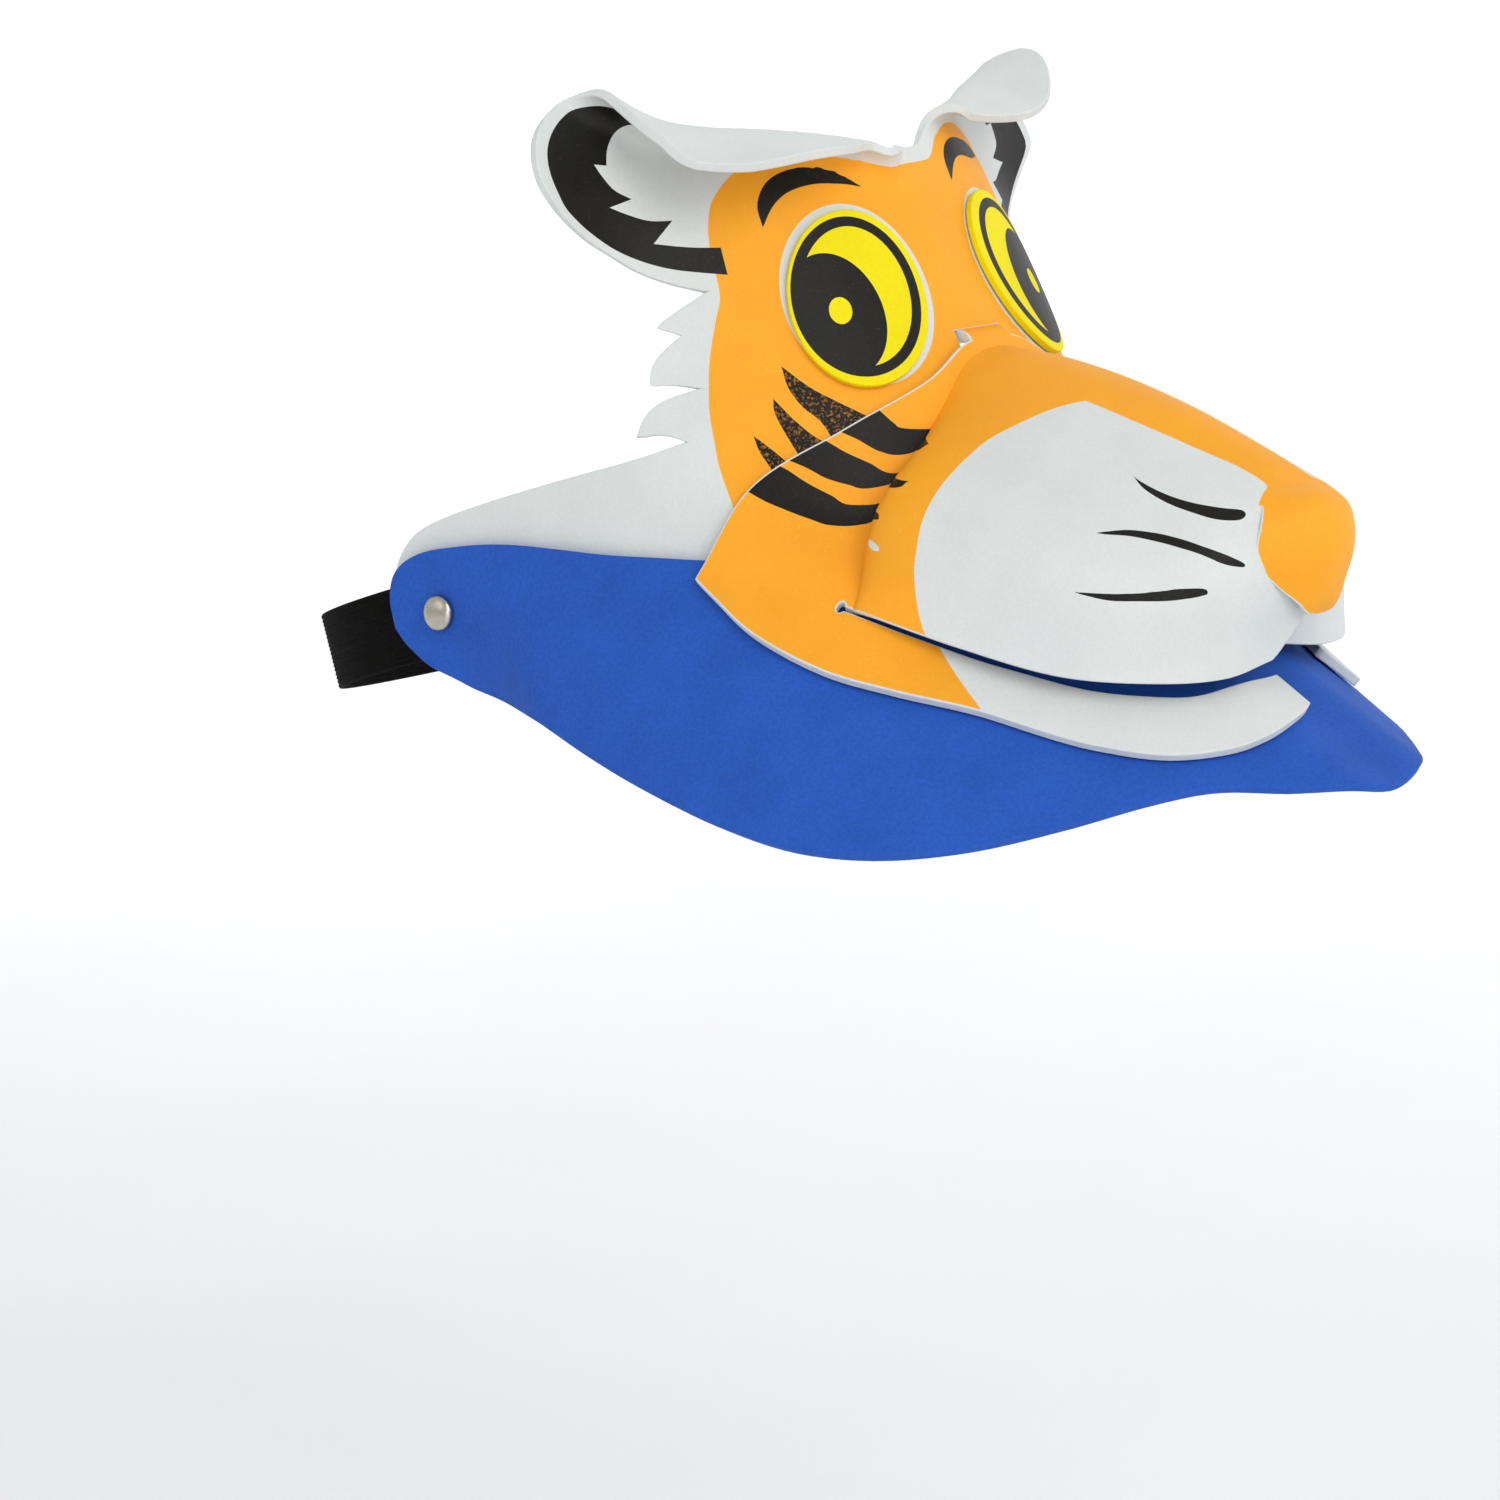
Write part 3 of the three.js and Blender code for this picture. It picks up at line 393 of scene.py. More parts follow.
def stroke_loop(strokes, step=OUTLINE_STEP, start=None):
    """A closed outline from strokes: smooth inside each stroke and sharp where two of them meet."""
    here = start or strokes[-1][-1]
    parts = []
    for stroke in strokes:
        parts.append(smooth_line([here, *stroke], step)[:-1])
        here = stroke[-1]
    return np.vstack(parts)


def oval(centre, half_wide, half_tall, tilt=0.0, step=OUTLINE_STEP):
    count = max(16, math.ceil(math.pi * (half_wide + half_tall) / step))
    angle = np.linspace(0, 2 * math.pi, count, endpoint=False)
    wide, tall = half_wide * np.cos(angle), half_tall * np.sin(angle)
    turned = [wide * math.cos(tilt) - tall * math.sin(tilt), wide * math.sin(tilt) + tall * math.cos(tilt)]
    return np.stack(turned, axis=1) + np.asarray(centre, float)


def face_points(u, v, h=0.0):
    """Points of the bent face panel: u around it, v up it, h out of its middle surface."""
    side = np.where(u < 0, -1.0, 1.0)
    around = np.abs(u)
    bend = np.minimum(around / FACE_RADIUS, FACE_BEND)
    straight = np.maximum(around - FACE_CURVED, 0)
    x = (FACE_RADIUS + h) * np.sin(bend) + straight * np.cos(bend)
    depth = FACE_RADIUS - (FACE_RADIUS + h) * np.cos(bend) + straight * np.sin(bend)
    start, radius, low, high = EAR_CURL.values()
    first = start / FACE_RADIUS
    beyond = np.maximum(around - start, 0)
    turn = first - beyond / radius
    reach = FACE_RADIUS + radius
    ear_x = reach * math.sin(first) - (radius - h) * np.sin(turn)
    ear_depth = FACE_RADIUS - reach * math.cos(first) + (radius - h) * np.cos(turn)
    share = np.clip((v - low) / (high - low), 0, 1) * (beyond > 0)
    x = x + (ear_x - x) * share
    depth = depth + (ear_depth - depth) * share
    return SLOT + (side * x)[:, None] * np.array([1, 0, 0]) + depth[:, None] * BACK + v[:, None] * UP


def past_roll(u, v, ear):
    """Where pattern points lie past the curved roll line of an ear: foot on the line, and how far beyond."""
    steep = math.hypot(1, ear["slope"])

    def line(at):
        return ear["v"] + ear["slope"] * (at - ear["u"]) + ear["bend"] * np.maximum(at - ear["knee"], 0) ** 2

    foot = u
    for _ in range(FOOT_ROUNDS):
        foot = (foot + u + (v - line(foot)) * ear["slope"]) / 2
    return foot, line(foot), (v - line(foot)) * steep, steep


def fold_ears(u, v):
    """The flat pattern with its ear tops rolled forward: new u, v and height of each point."""
    new_u, new_v, new_h = u.copy(), v.copy(), np.zeros(len(u))
    for side, ear in EAR_ROLLS.items():
        foot, foot_v, beyond, steep = past_roll(side * u, v, ear)
        share = np.clip((foot - ear["u"]) / (ear["outer_u"] - ear["u"]), 0, 1)
        begun = np.clip((foot - ear["start"]) / ROLL_START, 0, 1)
        full = ear["inner"] + (ear["outer"] - ear["inner"]) * share
        turn = np.minimum(beyond / ear["radius"], full * begun)
        rest = beyond - turn * ear["radius"]
        out = ear["radius"] * np.sin(turn) + rest * np.cos(turn)
        rise = ear["radius"] * (1 - np.cos(turn)) + rest * np.sin(turn)
        folded = (beyond > 0) & (side * u > 0)
        new_u[folded] = (side * (foot - out * ear["slope"] / steep))[folded]
        new_v[folded] = (foot_v + out / steep)[folded]
        new_h[folded] = rise[folded]
    return new_u, new_v, new_h


def panel_points(spots):
    return face_points(*fold_ears(spots[:, 0], spots[:, 1]))


def face_place(point):
    """The pattern place u, v and the height h of a point outside the panel, on the wearer's left."""
    away = np.asarray(point, float) - SLOT
    depth = away @ BACK
    angle = min(math.atan2(away[0], FACE_RADIUS - depth), FACE_BEND)
    height = away[0] * math.sin(angle) + (FACE_RADIUS - depth) * math.cos(angle) - FACE_RADIUS
    straight = away[0] * math.cos(angle) - (FACE_RADIUS - depth) * math.sin(angle)
    return FACE_RADIUS * angle + straight, away @ UP, height


def brim_edges():
    """Inner and outer edge points of half the brim, from its middle to the end of the horn."""
    rows, horn = np.array(BRIM, float), np.array(HORN, float)
    inner = face_points(np.r_[rows[:, 0], horn[:, 0]], np.r_[rows[:, 1], horn[:, 1]], LAYER)
    outer = np.vstack([rows[:, 2:], face_points(horn[:, 2], horn[:, 3], LAYER)])
    return inner, outer


BRIM_INNER, BRIM_OUTER = brim_edges()
BRIM_END = len(BRIM_INNER) - 1


def brim_middle(row, across):
    inner = along(BRIM_INNER, row, mirrored(BRIM_INNER[1]))
    outer = along(BRIM_OUTER, row, mirrored(BRIM_OUTER[1]))
    return inner + (outer - inner) * across[:, None]


def brim_points(row, across, lift=0.0):
    """Points of the brim, or of a layer that lies lift above it."""
    step = 0.02
    low, high = np.maximum(row - step, 0), np.minimum(row + step, BRIM_END)
    near, far = np.maximum(across - step, 0), np.minimum(across + step, 1)
    ahead = brim_middle(high, across) - brim_middle(low, across)
    outward = brim_middle(row, far) - brim_middle(row, near)
    normal = np.cross(outward, ahead)
    return brim_middle(row, across) + lift * normal / np.linalg.norm(normal, axis=1)[:, None]


# The brim's pattern: millimetres for a row and for the whole way across
BRIM_ROW_MM = 9.0
BRIM_ACROSS_MM = 60.0


def brim_sheet_points(spots):
    row, across = spots[:, 1] / BRIM_ROW_MM, spots[:, 0] / BRIM_ACROSS_MM
    points = brim_points(np.abs(row), across)
    points[:, 0] *= np.where(row < 0, -1, 1)
    return points


def jaw_points(place, across):
    """Points of the jaw strip: along its rows, and across from the slit edge (0) to the outer edge (1)."""
    in_row, in_across, out_row, out_across = along(JAW, place).T
    row = in_row + (out_row - in_row) * across
    return brim_points(row, in_across + (out_across - in_across) * across, LAYER)


def section_points(section, share):
    rows = np.array([0, *section], float).reshape(4, 3)
    return along(rows, 3 * np.asarray(share), mirrored(rows[1]))


def flange_points(portion, mouth, share):
    """A row of the flange, part of the way from the back edge to the fold, ending at the mouth line."""
    rows = [(a + (c - a) * portion, b + (d - b) * portion, LAYER) for a, b, c, d in FLANGE]
    rows = np.array([*rows, face_place(mouth)])
    at = along(rows, len(FLANGE) * share, mirrored(rows[1]))
    points = face_points(at[:, 0], at[:, 1], np.maximum(at[:, 2], LAYER))
    points[-1] = mouth
    return points


# Columns of the nets, and rows of the flange net in each row of the pattern
NET_COLUMNS = 33
NOSE_COLUMNS = 12
CHEEK_COLUMNS = 23
TAB_COLUMNS = 6
FLANGE_NET_ROWS = 2
SHARES = np.linspace(0, 1, NET_COLUMNS)


def muzzle_nets():
    """Nets of points of half the muzzle: flange, snout, nose, cheek and tab."""
    steps = np.linspace(0, FOLD_ROW, FLANGE_NET_ROWS * FOLD_ROW + 1)
    mouths = jaw_points(steps, np.zeros(len(steps)))
    flange = np.stack([flange_points(s / FOLD_ROW, mouth, SHARES) for s, mouth in zip(steps, mouths)])
    snout = np.stack([flange[-1]] + [section_points(section, SHARES) for section in SNOUT])

    def snout_row(row, shares):
        return net_points(snout, np.full(len(shares), row), shares * (NET_COLUMNS - 1))

    slit = SLIT_ROW - FOLD_ROW
    inner = np.linspace(0, NOSE_SHARE, NOSE_COLUMNS)
    a = (inner / NOSE_SHARE)[:, None]
    nose = [snout_row(slit - 1, inner), snout_row(slit, inner)]
    for y, z, half, ey, ez in NOSE[1:]:
        nose.append(np.hstack([half * a, y + (ey - y) * a**2, z + (ez - z) * a**2]))
    outer = np.linspace(NOSE_SHARE, 1, CHEEK_COLUMNS)
    cheek = [snout_row(slit - CHEEK_ROWS, outer), snout_row(slit, outer), section_points(CHEEK_FRONT, outer)]
    across = np.linspace(0, TAB_SHARE, TAB_COLUMNS)
    u = along([(row[0],) for row in FLANGE], len(FLANGE) * across, (-FLANGE[1][0],))[:, 0]
    tab = [face_points(u, np.full(TAB_COLUMNS, v), h) for v, h in TAB]
    return flange, snout, np.stack(nose), np.stack(cheek), np.stack(tab)


FLANGE_NET, SNOUT_NET, NOSE_NET, CHEEK_NET, TAB_NET = muzzle_nets()


def smooth_step(value, low, high):
    share = np.clip((value - low) / (high - low), 0, 1)
    return share * share * (3 - 2 * share)


def rounded_fold(points, row, column, share):
    """The fold where the snout rises from its flange as a soft bend, fading out at the mouth corner."""
    count = len(row)
    before = net_points(FLANGE_NET, np.full(count, FLANGE_NET_ROWS * (FOLD_ROW - FOLD_ROUND)), column)
    fold = net_points(SNOUT_NET, np.zeros(count), column)
    after = net_points(SNOUT_NET, np.full(count, FOLD_ROUND), column)
    t = ((row - FOLD_ROW) / FOLD_ROUND / 2 + 0.5)[:, None]
    curve = (1 - t) ** 2 * before + 2 * t * (1 - t) * fold + t**2 * after
    fade = np.clip((1 - share) / FOLD_FADE, 0, 1)[:, None]
    return points + (curve - points) * fade


def muzzle_points(spots):
    """Points of the muzzle sheet from its pattern: rows forward and shares round from the ridge."""
    row, share = spots[:, 0] / ROW_MM, spots[:, 1] / SHARE_MM
    side, share = np.where(share < 0, -1.0, 1.0), np.abs(share)
    points = np.zeros((len(row), 3))
    jaw = share > 1
    nose = (row > SLIT_ROW) & (share < NOSE_SHARE)
    cheek = (row > SLIT_ROW) & ~nose & ~jaw
    tab = row < 0
    flange = ~jaw & ~tab & (row < FOLD_ROW)
    snout = ~(jaw | nose | cheek | tab | flange)
    column = share * (NET_COLUMNS - 1)
    past = np.where(side > 0, np.maximum(row - FOLD_ROW, 0), 0)
    place = row - past * (1 - LEFT_JAW["reach"])
    wide = 1 - LEFT_JAW["narrower"] * past / (SLIT_ROW - FOLD_ROW)
    points[jaw] = jaw_points(place[jaw], (wide * (share - 1))[jaw] * SHARE_MM / JAW_MM)
    points[flange] = net_points(FLANGE_NET, FLANGE_NET_ROWS * row[flange], column[flange])
    points[snout] = net_points(SNOUT_NET, row[snout] - FOLD_ROW, column[snout])
    bend = ~jaw & (np.abs(row - FOLD_ROW) < FOLD_ROUND)
    points[bend] = rounded_fold(points[bend], row[bend], column[bend], share[bend])
    nose_row = 1 + (row - SLIT_ROW) / NOSE_ROWS * (len(NOSE) - 1)
    nose_column = share / NOSE_SHARE * (NOSE_COLUMNS - 1)
    points[nose] = net_points(NOSE_NET, nose_row[nose], nose_column[nose])
    cheek_row = 1 + (row - SLIT_ROW) / CHEEK_ROWS
    cheek_column = (share - NOSE_SHARE) / (1 - NOSE_SHARE) * (CHEEK_COLUMNS - 1)
    points[cheek] = net_points(CHEEK_NET, cheek_row[cheek], cheek_column[cheek])
    tab_column = share / TAB_SHARE * (TAB_COLUMNS - 1)
    points[tab] = net_points(TAB_NET, -row[tab] * (len(TAB) - 1), tab_column[tab])
    pressed = smooth_step(row, *LEFT_CHEEK["rows"]) * smooth_step(share, *LEFT_CHEEK["shares"])
    points[:, 1] += LEFT_CHEEK["back"] * pressed * (side > 0) * ~jaw
    points[:, 0] *= side
    return points


def inside(points, loop):
    """Which points lie inside a closed outline."""
    x, y = points[:, :1], points[:, 1:]
    x0, y0 = loop.T
    x1, y1 = np.roll(loop, -1, axis=0).T
    crosses = (y0 > y) != (y1 > y)
    rise = np.where(y1 == y0, 1, y1 - y0)
    return (crosses & (x < x0 + (y - y0) * (x1 - x0) / rise)).sum(axis=1) % 2 == 1


def filling(outline, loops, step, keep_off):
    """Evenly staggered points inside an outline, clear of the lines drawn on it."""
    row_step = 0.87 * step
    batch = 500
    low, high = outline.min(axis=0), outline.max(axis=0)
    rows = []
    for n, y in enumerate(np.arange(low[1], high[1], row_step)):
        x = np.arange(low[0] + (n % 2) * step / 2, high[0], step)
        rows.append(np.stack([x, np.full(len(x), y)], axis=1))
    points = np.vstack(rows)
    points = points[inside(points, outline)]
    marks = np.vstack(loops)
    clear = np.ones(len(points), bool)
    for first in range(0, len(points), batch):
        part = points[first:first + batch]
        away = np.min(((part[:, None] - marks[None]) ** 2).sum(axis=2), axis=1)
        clear[first:first + batch] = away > keep_off**2
    return points[clear]


def triangulate(outline, lines, holes, step):
    """Points and triangles of a flat sheet that keep to its outline, holes and drawn lines."""
    loops = [(outline, True), *((hole, True) for hole in holes), *lines]
    points, edges = [], []
    for loop, closed in loops:
        first = len(points)
        points.extend(loop.tolist())
        count = len(loop)
        edges.extend((first + n, first + (n + 1) % count) for n in range(count if closed else count - 1))
    clearance = 0.45 * step
    points.extend(filling(outline, [loop for loop, _ in loops], step, clearance).tolist())
    weld = 1e-5
    made = delaunay_2d_cdt([Vector(p) for p in points], edges, [], 0, weld)
    flat = np.array([tuple(p) for p in made[0]])
    triangles = np.array([tuple(face) for face in made[2]])
    middle = flat[triangles].mean(axis=1)
    kept = inside(middle, outline)
    for hole in holes:
        kept &= ~inside(middle, hole)
    triangles, middle = triangles[kept], middle[kept]
    a, b, c = (flat[triangles[:, k]] for k in range(3))
    turned = (b[:, 0] - a[:, 0]) * (c[:, 1] - a[:, 1]) - (b[:, 1] - a[:, 1]) * (c[:, 0] - a[:, 0]) < 0
    triangles[turned] = triangles[turned][:, ::-1]
    used, triangles = np.unique(triangles, return_inverse=True)
    return flat[used], triangles.reshape(-1, 3), middle


def unit(vectors):
    return vectors / np.maximum(np.linalg.norm(vectors, axis=-1, keepdims=True), 1e-12)


def corner_normals(points, triangles):
    a, b, c = (points[triangles[:, k]] for k in range(3))
    facing = np.cross(b - a, c - a)
    normals = np.zeros_like(points)
    for k in range(3):
        np.add.at(normals, triangles[:, k], facing)
    return unit(normals)


def border_edges(triangles):
    """Edges with a triangle on one side only, each with the sheet on its left."""
    pairs = np.vstack([triangles[:, [0, 1]], triangles[:, [1, 2]], triangles[:, [2, 0]]]).tolist()
    known = {tuple(pair) for pair in pairs}
    return np.array([pair for pair in pairs if (pair[1], pair[0]) not in known])


def linked(name, data):
    """A new object of the scene."""
    piece = bpy.data.objects.new(name, data)
    bpy.context.scene.collection.objects.link(piece)
    return piece


def mesh_object(name, points, faces, face_materials, materials, normals, slot, *nodes):
    """A smooth mesh in metres from points in millimetres, riding on the part in place of its solids."""
    mesh = bpy.data.meshes.new(name)
    mesh.from_pydata((np.asarray(points) * MM).tolist(), [], [list(map(int, face)) for face in faces])
    for material in materials:
        mesh.materials.append(material)
    mesh.polygons.foreach_set("material_index", np.asarray(face_materials, np.int32))
    mesh.polygons.foreach_set("use_smooth", [True] * len(faces))
    if normals is not None:
        mesh.normals_split_custom_set_from_vertices(np.asarray(normals).tolist())
    mesh.update()
    piece = linked(name, mesh)
    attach(piece, "root")
    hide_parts(*nodes)
    return piece


# Round of a cut edge, from the front surface to the back: share out of the rim and place in the thickness
EDGE_ROUND = [(0.5, 0.134, 30), (0.866, 0.5, 60), (1.0, 1.0, 90)]


def foam_sheet(name, outline, place, thick, materials, slot, node, step, prints=(), lines=(), holes=(),
               ground=0, flipped=False):
    """A foam sheet of even thickness with a soft cut edge; its front has prints over a ground colour."""
    drawn = [(loop, True) for loop, _ in prints] + [(line, False) for line in lines]
    flat, triangles, middle = triangulate(outline, drawn, holes, step)
    if flipped:
        triangles = triangles[:, ::-1]
    centre = place(flat)
    normals = corner_normals(centre, triangles)
    printed = np.full(len(triangles), ground)
    for loop, material in prints:
        printed[inside(middle, loop)] = material
    border = border_edges(triangles)
    count = len(flat)
    outward = np.zeros_like(centre)
    edge = centre[border[:, 1]] - centre[border[:, 0]]
    for end in border.T:
        np.add.at(outward, end, unit(np.cross(edge, normals[end])))
    rim = np.unique(border)
    ring_of = np.full(count, -1)
    ring_of[rim] = np.arange(len(rim))
    outward = unit(outward[rim])
    rim_normals, rim_centre = normals[rim], centre[rim]
    points = [centre + normals * thick / 2, centre - normals * thick / 2]
    vectors = [normals, -normals]
    profile = [(out, drop, math.radians(turn), 1) for out, drop, turn in EDGE_ROUND]
    profile += [(out, drop, turn, -1) for out, drop, turn, _ in reversed(profile)]
    for out, drop, turn, face in profile:
        height = face * (thick / 2 - SOFT_EDGE * drop)
        points.append(rim_centre + outward * SOFT_EDGE * out + rim_normals * height)
        vectors.append(outward * math.sin(turn) + rim_normals * face * math.cos(turn))
    starts = [2 * count + n * len(rim) for n in range(len(profile))]
    rings = [border] + [ring_of[border] + first for first in starts] + [border + count]
    faces = triangles.tolist() + (triangles[:, ::-1] + count).tolist()
    kinds = printed.tolist() + [0] * len(triangles)
    for upper, lower in zip(rings, rings[1:]):
        faces.extend([b, a, c, d] for (a, b), (c, d) in zip(upper.tolist(), lower.tolist()))
        kinds.extend([0] * len(border))
    mesh_object(name, np.vstack(points), faces, kinds, materials, np.vstack(vectors), slot, node)


def new_material(name, roughness, specular=0.2):
    material = bpy.data.materials.new(name)
    material.use_nodes = True
    nodes, links = material.node_tree.nodes, material.node_tree.links
    shader = nodes["Principled BSDF"]
    shader.inputs["Roughness"].default_value = roughness
    shader.inputs["Specular IOR Level"].default_value = specular
    place = nodes.new("ShaderNodeTexCoord")
    return material, nodes, links, shader, place.outputs["Object"]


def noise(nodes, links, place, size_mm, detail=3.0):
    """Smooth noise whose lumps are about size_mm across."""
    texture = nodes.new("ShaderNodeTexNoise")
    texture.inputs["Scale"].default_value = 1 / (size_mm * MM)
    texture.inputs["Detail"].default_value = detail
    links.new(place, texture.inputs["Vector"])
    return texture.outputs["Fac"]


def ramp(nodes, links, value, stops):
    """Maps a value to colours, with stops of place and colour."""
    node = nodes.new("ShaderNodeValToRGB")
    band = node.color_ramp
    while len(band.elements) < len(stops):
        band.elements.new(0.5)
    for element, (at, colour) in zip(band.elements, stops):
        element.position = at
        element.color = (*colour, 1)
    links.new(value, node.inputs["Fac"])
    return node.outputs["Color"]


def multiply(nodes, links, first, second):
    node = nodes.new("ShaderNodeMix")
    node.data_type = "RGBA"
    node.blend_type = "MULTIPLY"
    node.inputs["Factor"].default_value = 1.0
    links.new(first, node.inputs["A"])
    links.new(second, node.inputs["B"])
    return node.outputs["Result"]


def bump(nodes, links, shader, layers):
    """Stacks bumps on the shader: each layer has a height and its depth in millimetres."""
    normal = None
    for height, depth_mm in layers:
        node = nodes.new("ShaderNodeBump")
        node.inputs["Strength"].default_value = 1.0
        node.inputs["Distance"].default_value = depth_mm * MM
        links.new(height, node.inputs["Height"])
        if normal is not None:
            links.new(normal, node.inputs["Normal"])
        normal = node.outputs["Normal"]
    links.new(normal, shader.inputs["Normal"])


# Width of the lumps in the foam's skin and of its pores, in millimetres
SKIN_MM, PORE_MM = 5.0, 0.45


def foam_bumps(nodes, links, place, skin_depth, pore_depth):
    """Bump layers that bare and printed foam share: an uneven skin with fine closed pores."""
    pores = nodes.new("ShaderNodeTexVoronoi")
    pores.inputs["Scale"].default_value = 1 / (PORE_MM * MM)
    links.new(place, pores.inputs["Vector"])
    skin = noise(nodes, links, place, SKIN_MM)
    return [(skin, skin_depth), (pores.outputs["Distance"], pore_depth)]


def linear(colour):
    """A matched 0 to 255 screen colour as scene-linear values."""
    shares = [value / 255 for value in colour]
    return tuple(s / 12.92 if s <= 0.04045 else ((s + 0.055) / 1.055) ** 2.4 for s in shares)


def foam_material(name, colour, roughness=0.62, mottle=0.02, grain=0.03, grain_mm=0.6):
    """EVA foam: fine closed pores, a slightly uneven skin and soft colour mottling."""
    material, nodes, links, shader, place = new_material(name, roughness)
    base = linear(colour)
    wide = noise(nodes, links, place, 14.0)
    fine = noise(nodes, links, place, grain_mm, 2.0)
    darker = tuple(value * (1 - mottle) for value in base)
    lighter = tuple(min(1, value * (1 + mottle)) for value in base)
    tint = ramp(nodes, links, wide, [(0.35, darker), (0.65, lighter)])
    speck = ramp(nodes, links, fine, [(0.4, (1 - grain,) * 3), (0.6, (1.0,) * 3)])
    links.new(multiply(nodes, links, tint, speck), shader.inputs["Base Color"])
    bump(nodes, links, shader, [*foam_bumps(nodes, links, place, 0.12, 0.02), (fine, 0.02)])
    return material


def ink_material(name, colour, under, wear=0.0, roughness=0.5):
    """Screen-printed ink on foam: the foam's pores show, and worn spots let the colour under it through."""
    material, nodes, links, shader, place = new_material(name, roughness)
    ink, ground = linear(colour), linear(under)
    fine = noise(nodes, links, place, 0.55)
    wide = noise(nodes, links, place, 18.0)
    bared = tuple(i + (g - i) * 0.4 for i, g in zip(ink, ground))
    spots = ramp(nodes, links, fine, [(0.6 - wear, ink), (0.78 - wear, bared)])
    shade = ramp(nodes, links, wide, [(0.3, (0.93,) * 3), (0.7, (1.0,) * 3)])
    links.new(multiply(nodes, links, spots, shade), shader.inputs["Base Color"])
    bump(nodes, links, shader, foam_bumps(nodes, links, place, 0.1, 0.015))
    return material


def metal_material(name):
    """Nickel plating with smudges in its tint and shine, and fine scratches."""
    material, nodes, links, shader, place = new_material(name, 0.3, 0.5)
    shader.inputs["Metallic"].default_value = 1.0
    smudge = noise(nodes, links, place, 2.5)
    scratch = noise(nodes, links, place, 0.25)
    tint = ramp(nodes, links, smudge, [(0.3, linear(NICKEL_DARK)), (0.7, linear(NICKEL_LIGHT))])
    links.new(tint, shader.inputs["Base Color"])
    rough = nodes.new("ShaderNodeMapRange")
    rough.inputs["To Min"].default_value = 0.18
    rough.inputs["To Max"].default_value = 0.42
    links.new(smudge, rough.inputs["Value"])
    links.new(rough.outputs["Result"], shader.inputs["Roughness"])
    bump(nodes, links, shader, [(scratch, 0.004)])
    return material


def elastic_material(name):
    material, nodes, links, shader, place = new_material(name, 0.9, 0.08)
    yarn = noise(nodes, links, place, 0.35, 2.0)
    tint = ramp(nodes, links, yarn, [(0.35, linear(YARN_DARK)), (0.7, linear(YARN_LIGHT))])
    links.new(tint, shader.inputs["Base Color"])
    bump(nodes, links, shader, [(yarn, 0.06)])
    return material


# Screen colours that the photo shows, 0 to 255
ORANGE, PALE_ORANGE = (255, 172, 40), (255, 205, 120)
BLACK, WORN_BLACK = (24, 23, 20), (70, 66, 58)
WHITE = (220, 224, 221)
YELLOW = (242, 226, 0)
BLUE = (38, 90, 188)
NICKEL_DARK, NICKEL_LIGHT = (176, 170, 155), (205, 200, 188)
YARN_DARK, YARN_LIGHT = (8, 7, 6), (24, 23, 21)

WHITE_FOAM = foam_material("white_foam", WHITE)
ORANGE_INK = ink_material("orange_ink", ORANGE, PALE_ORANGE, roughness=0.55)
BLACK_INK = ink_material("black_ink", BLACK, WORN_BLACK, roughness=0.45)
WORN_INK = ink_material("worn_black_ink", BLACK, ORANGE, wear=0.08)
BLUE_FOAM = foam_material("blue_foam", BLUE, roughness=0.7, mottle=0.07, grain=0.12, grain_mm=0.7)
YELLOW_FOAM = foam_material("yellow_foam", YELLOW)
METAL = metal_material("nickel")
ELASTIC = elastic_material("black_elastic")


def face_prints():
    """Printed shapes of the face panel: orange ground, bare eye rims, brows, ears and stripes."""
    near = [(-u, v) for u, v in ORANGE_HALF]
    far = ORANGE_MIDDLE + ORANGE_HALF[ORANGE_SHARED:]
    foot = [[ORANGE_FOOT], [(-ORANGE_FOOT[0], ORANGE_FOOT[1])]]
    prints = [(stroke_loop([far, *foot, [near[-1]], near[::-1][1:]], start=near[0]), 1)]
    for side in (-1, 1):
        shapes = [(oval(*EYE_BARE), 0), (stroke_loop(EAR_BLACK), 2)]
        shapes.append((stroke_loop(BROW_NEAR if side < 0 else BROW_FAR, PRINT_STEP), 2))
        shapes += [(stroke_loop(stripe, PRINT_STEP), 3) for stripe in FACE_STRIPES]
        prints += [(mirrored(loop) if side < 0 else loop, material) for loop, material in shapes]
    return prints


def face_panel():
    half = stroke_loop(FACE_HALF, start=FACE_START)
    half = np.vstack([half, [FACE_HALF[-1][-1]]])
    outline = np.vstack([half, mirrored(half[1:-1][::-1])])[::-1]
    slot = [(-SLOT_HALF, SLOT_LOW), (SLOT_HALF, SLOT_LOW), (SLOT_HALF, SLOT_HIGH), (-SLOT_HALF, SLOT_HIGH)]
    holes = [np.array(slot)]
    for side in (-1, 1):
        holes.append(oval((side * RIVET["u"], RIVET["v"]), BORE_RADIUS, BORE_RADIUS, step=FINE_STEP))
    materials = [WHITE_FOAM, ORANGE_INK, BLACK_INK, WORN_INK]
    foam_sheet("face_sheet", outline, panel_points, FOAM, materials, "face_foam", "face_panel",
               prints=face_prints(), holes=holes, step=1.8)


def visor_brim():
    end = BRIM_END * BRIM_ROW_MM
    corners = [(0, -end), (BRIM_ACROSS_MM, -end), (BRIM_ACROSS_MM, end), (0, end)]
    outline = stroke_loop([[corner] for corner in corners], 1.6)
    foam_sheet("brim_sheet", outline, brim_sheet_points, FOAM, [BLUE_FOAM], "brim_foam", "visor_brim",
               step=2.6)


def muzzle_spot(points):
    """Rows and shares of the muzzle as millimetres of its pattern."""
    return [(row * ROW_MM, share * SHARE_MM) for row, share in points]


def jaw_spot(points):
    """Rows and fractions across the jaw strip as millimetres of the muzzle's pattern."""
    return [(place * ROW_MM, SHARE_MM + across * JAW_MM) for place, across in points]


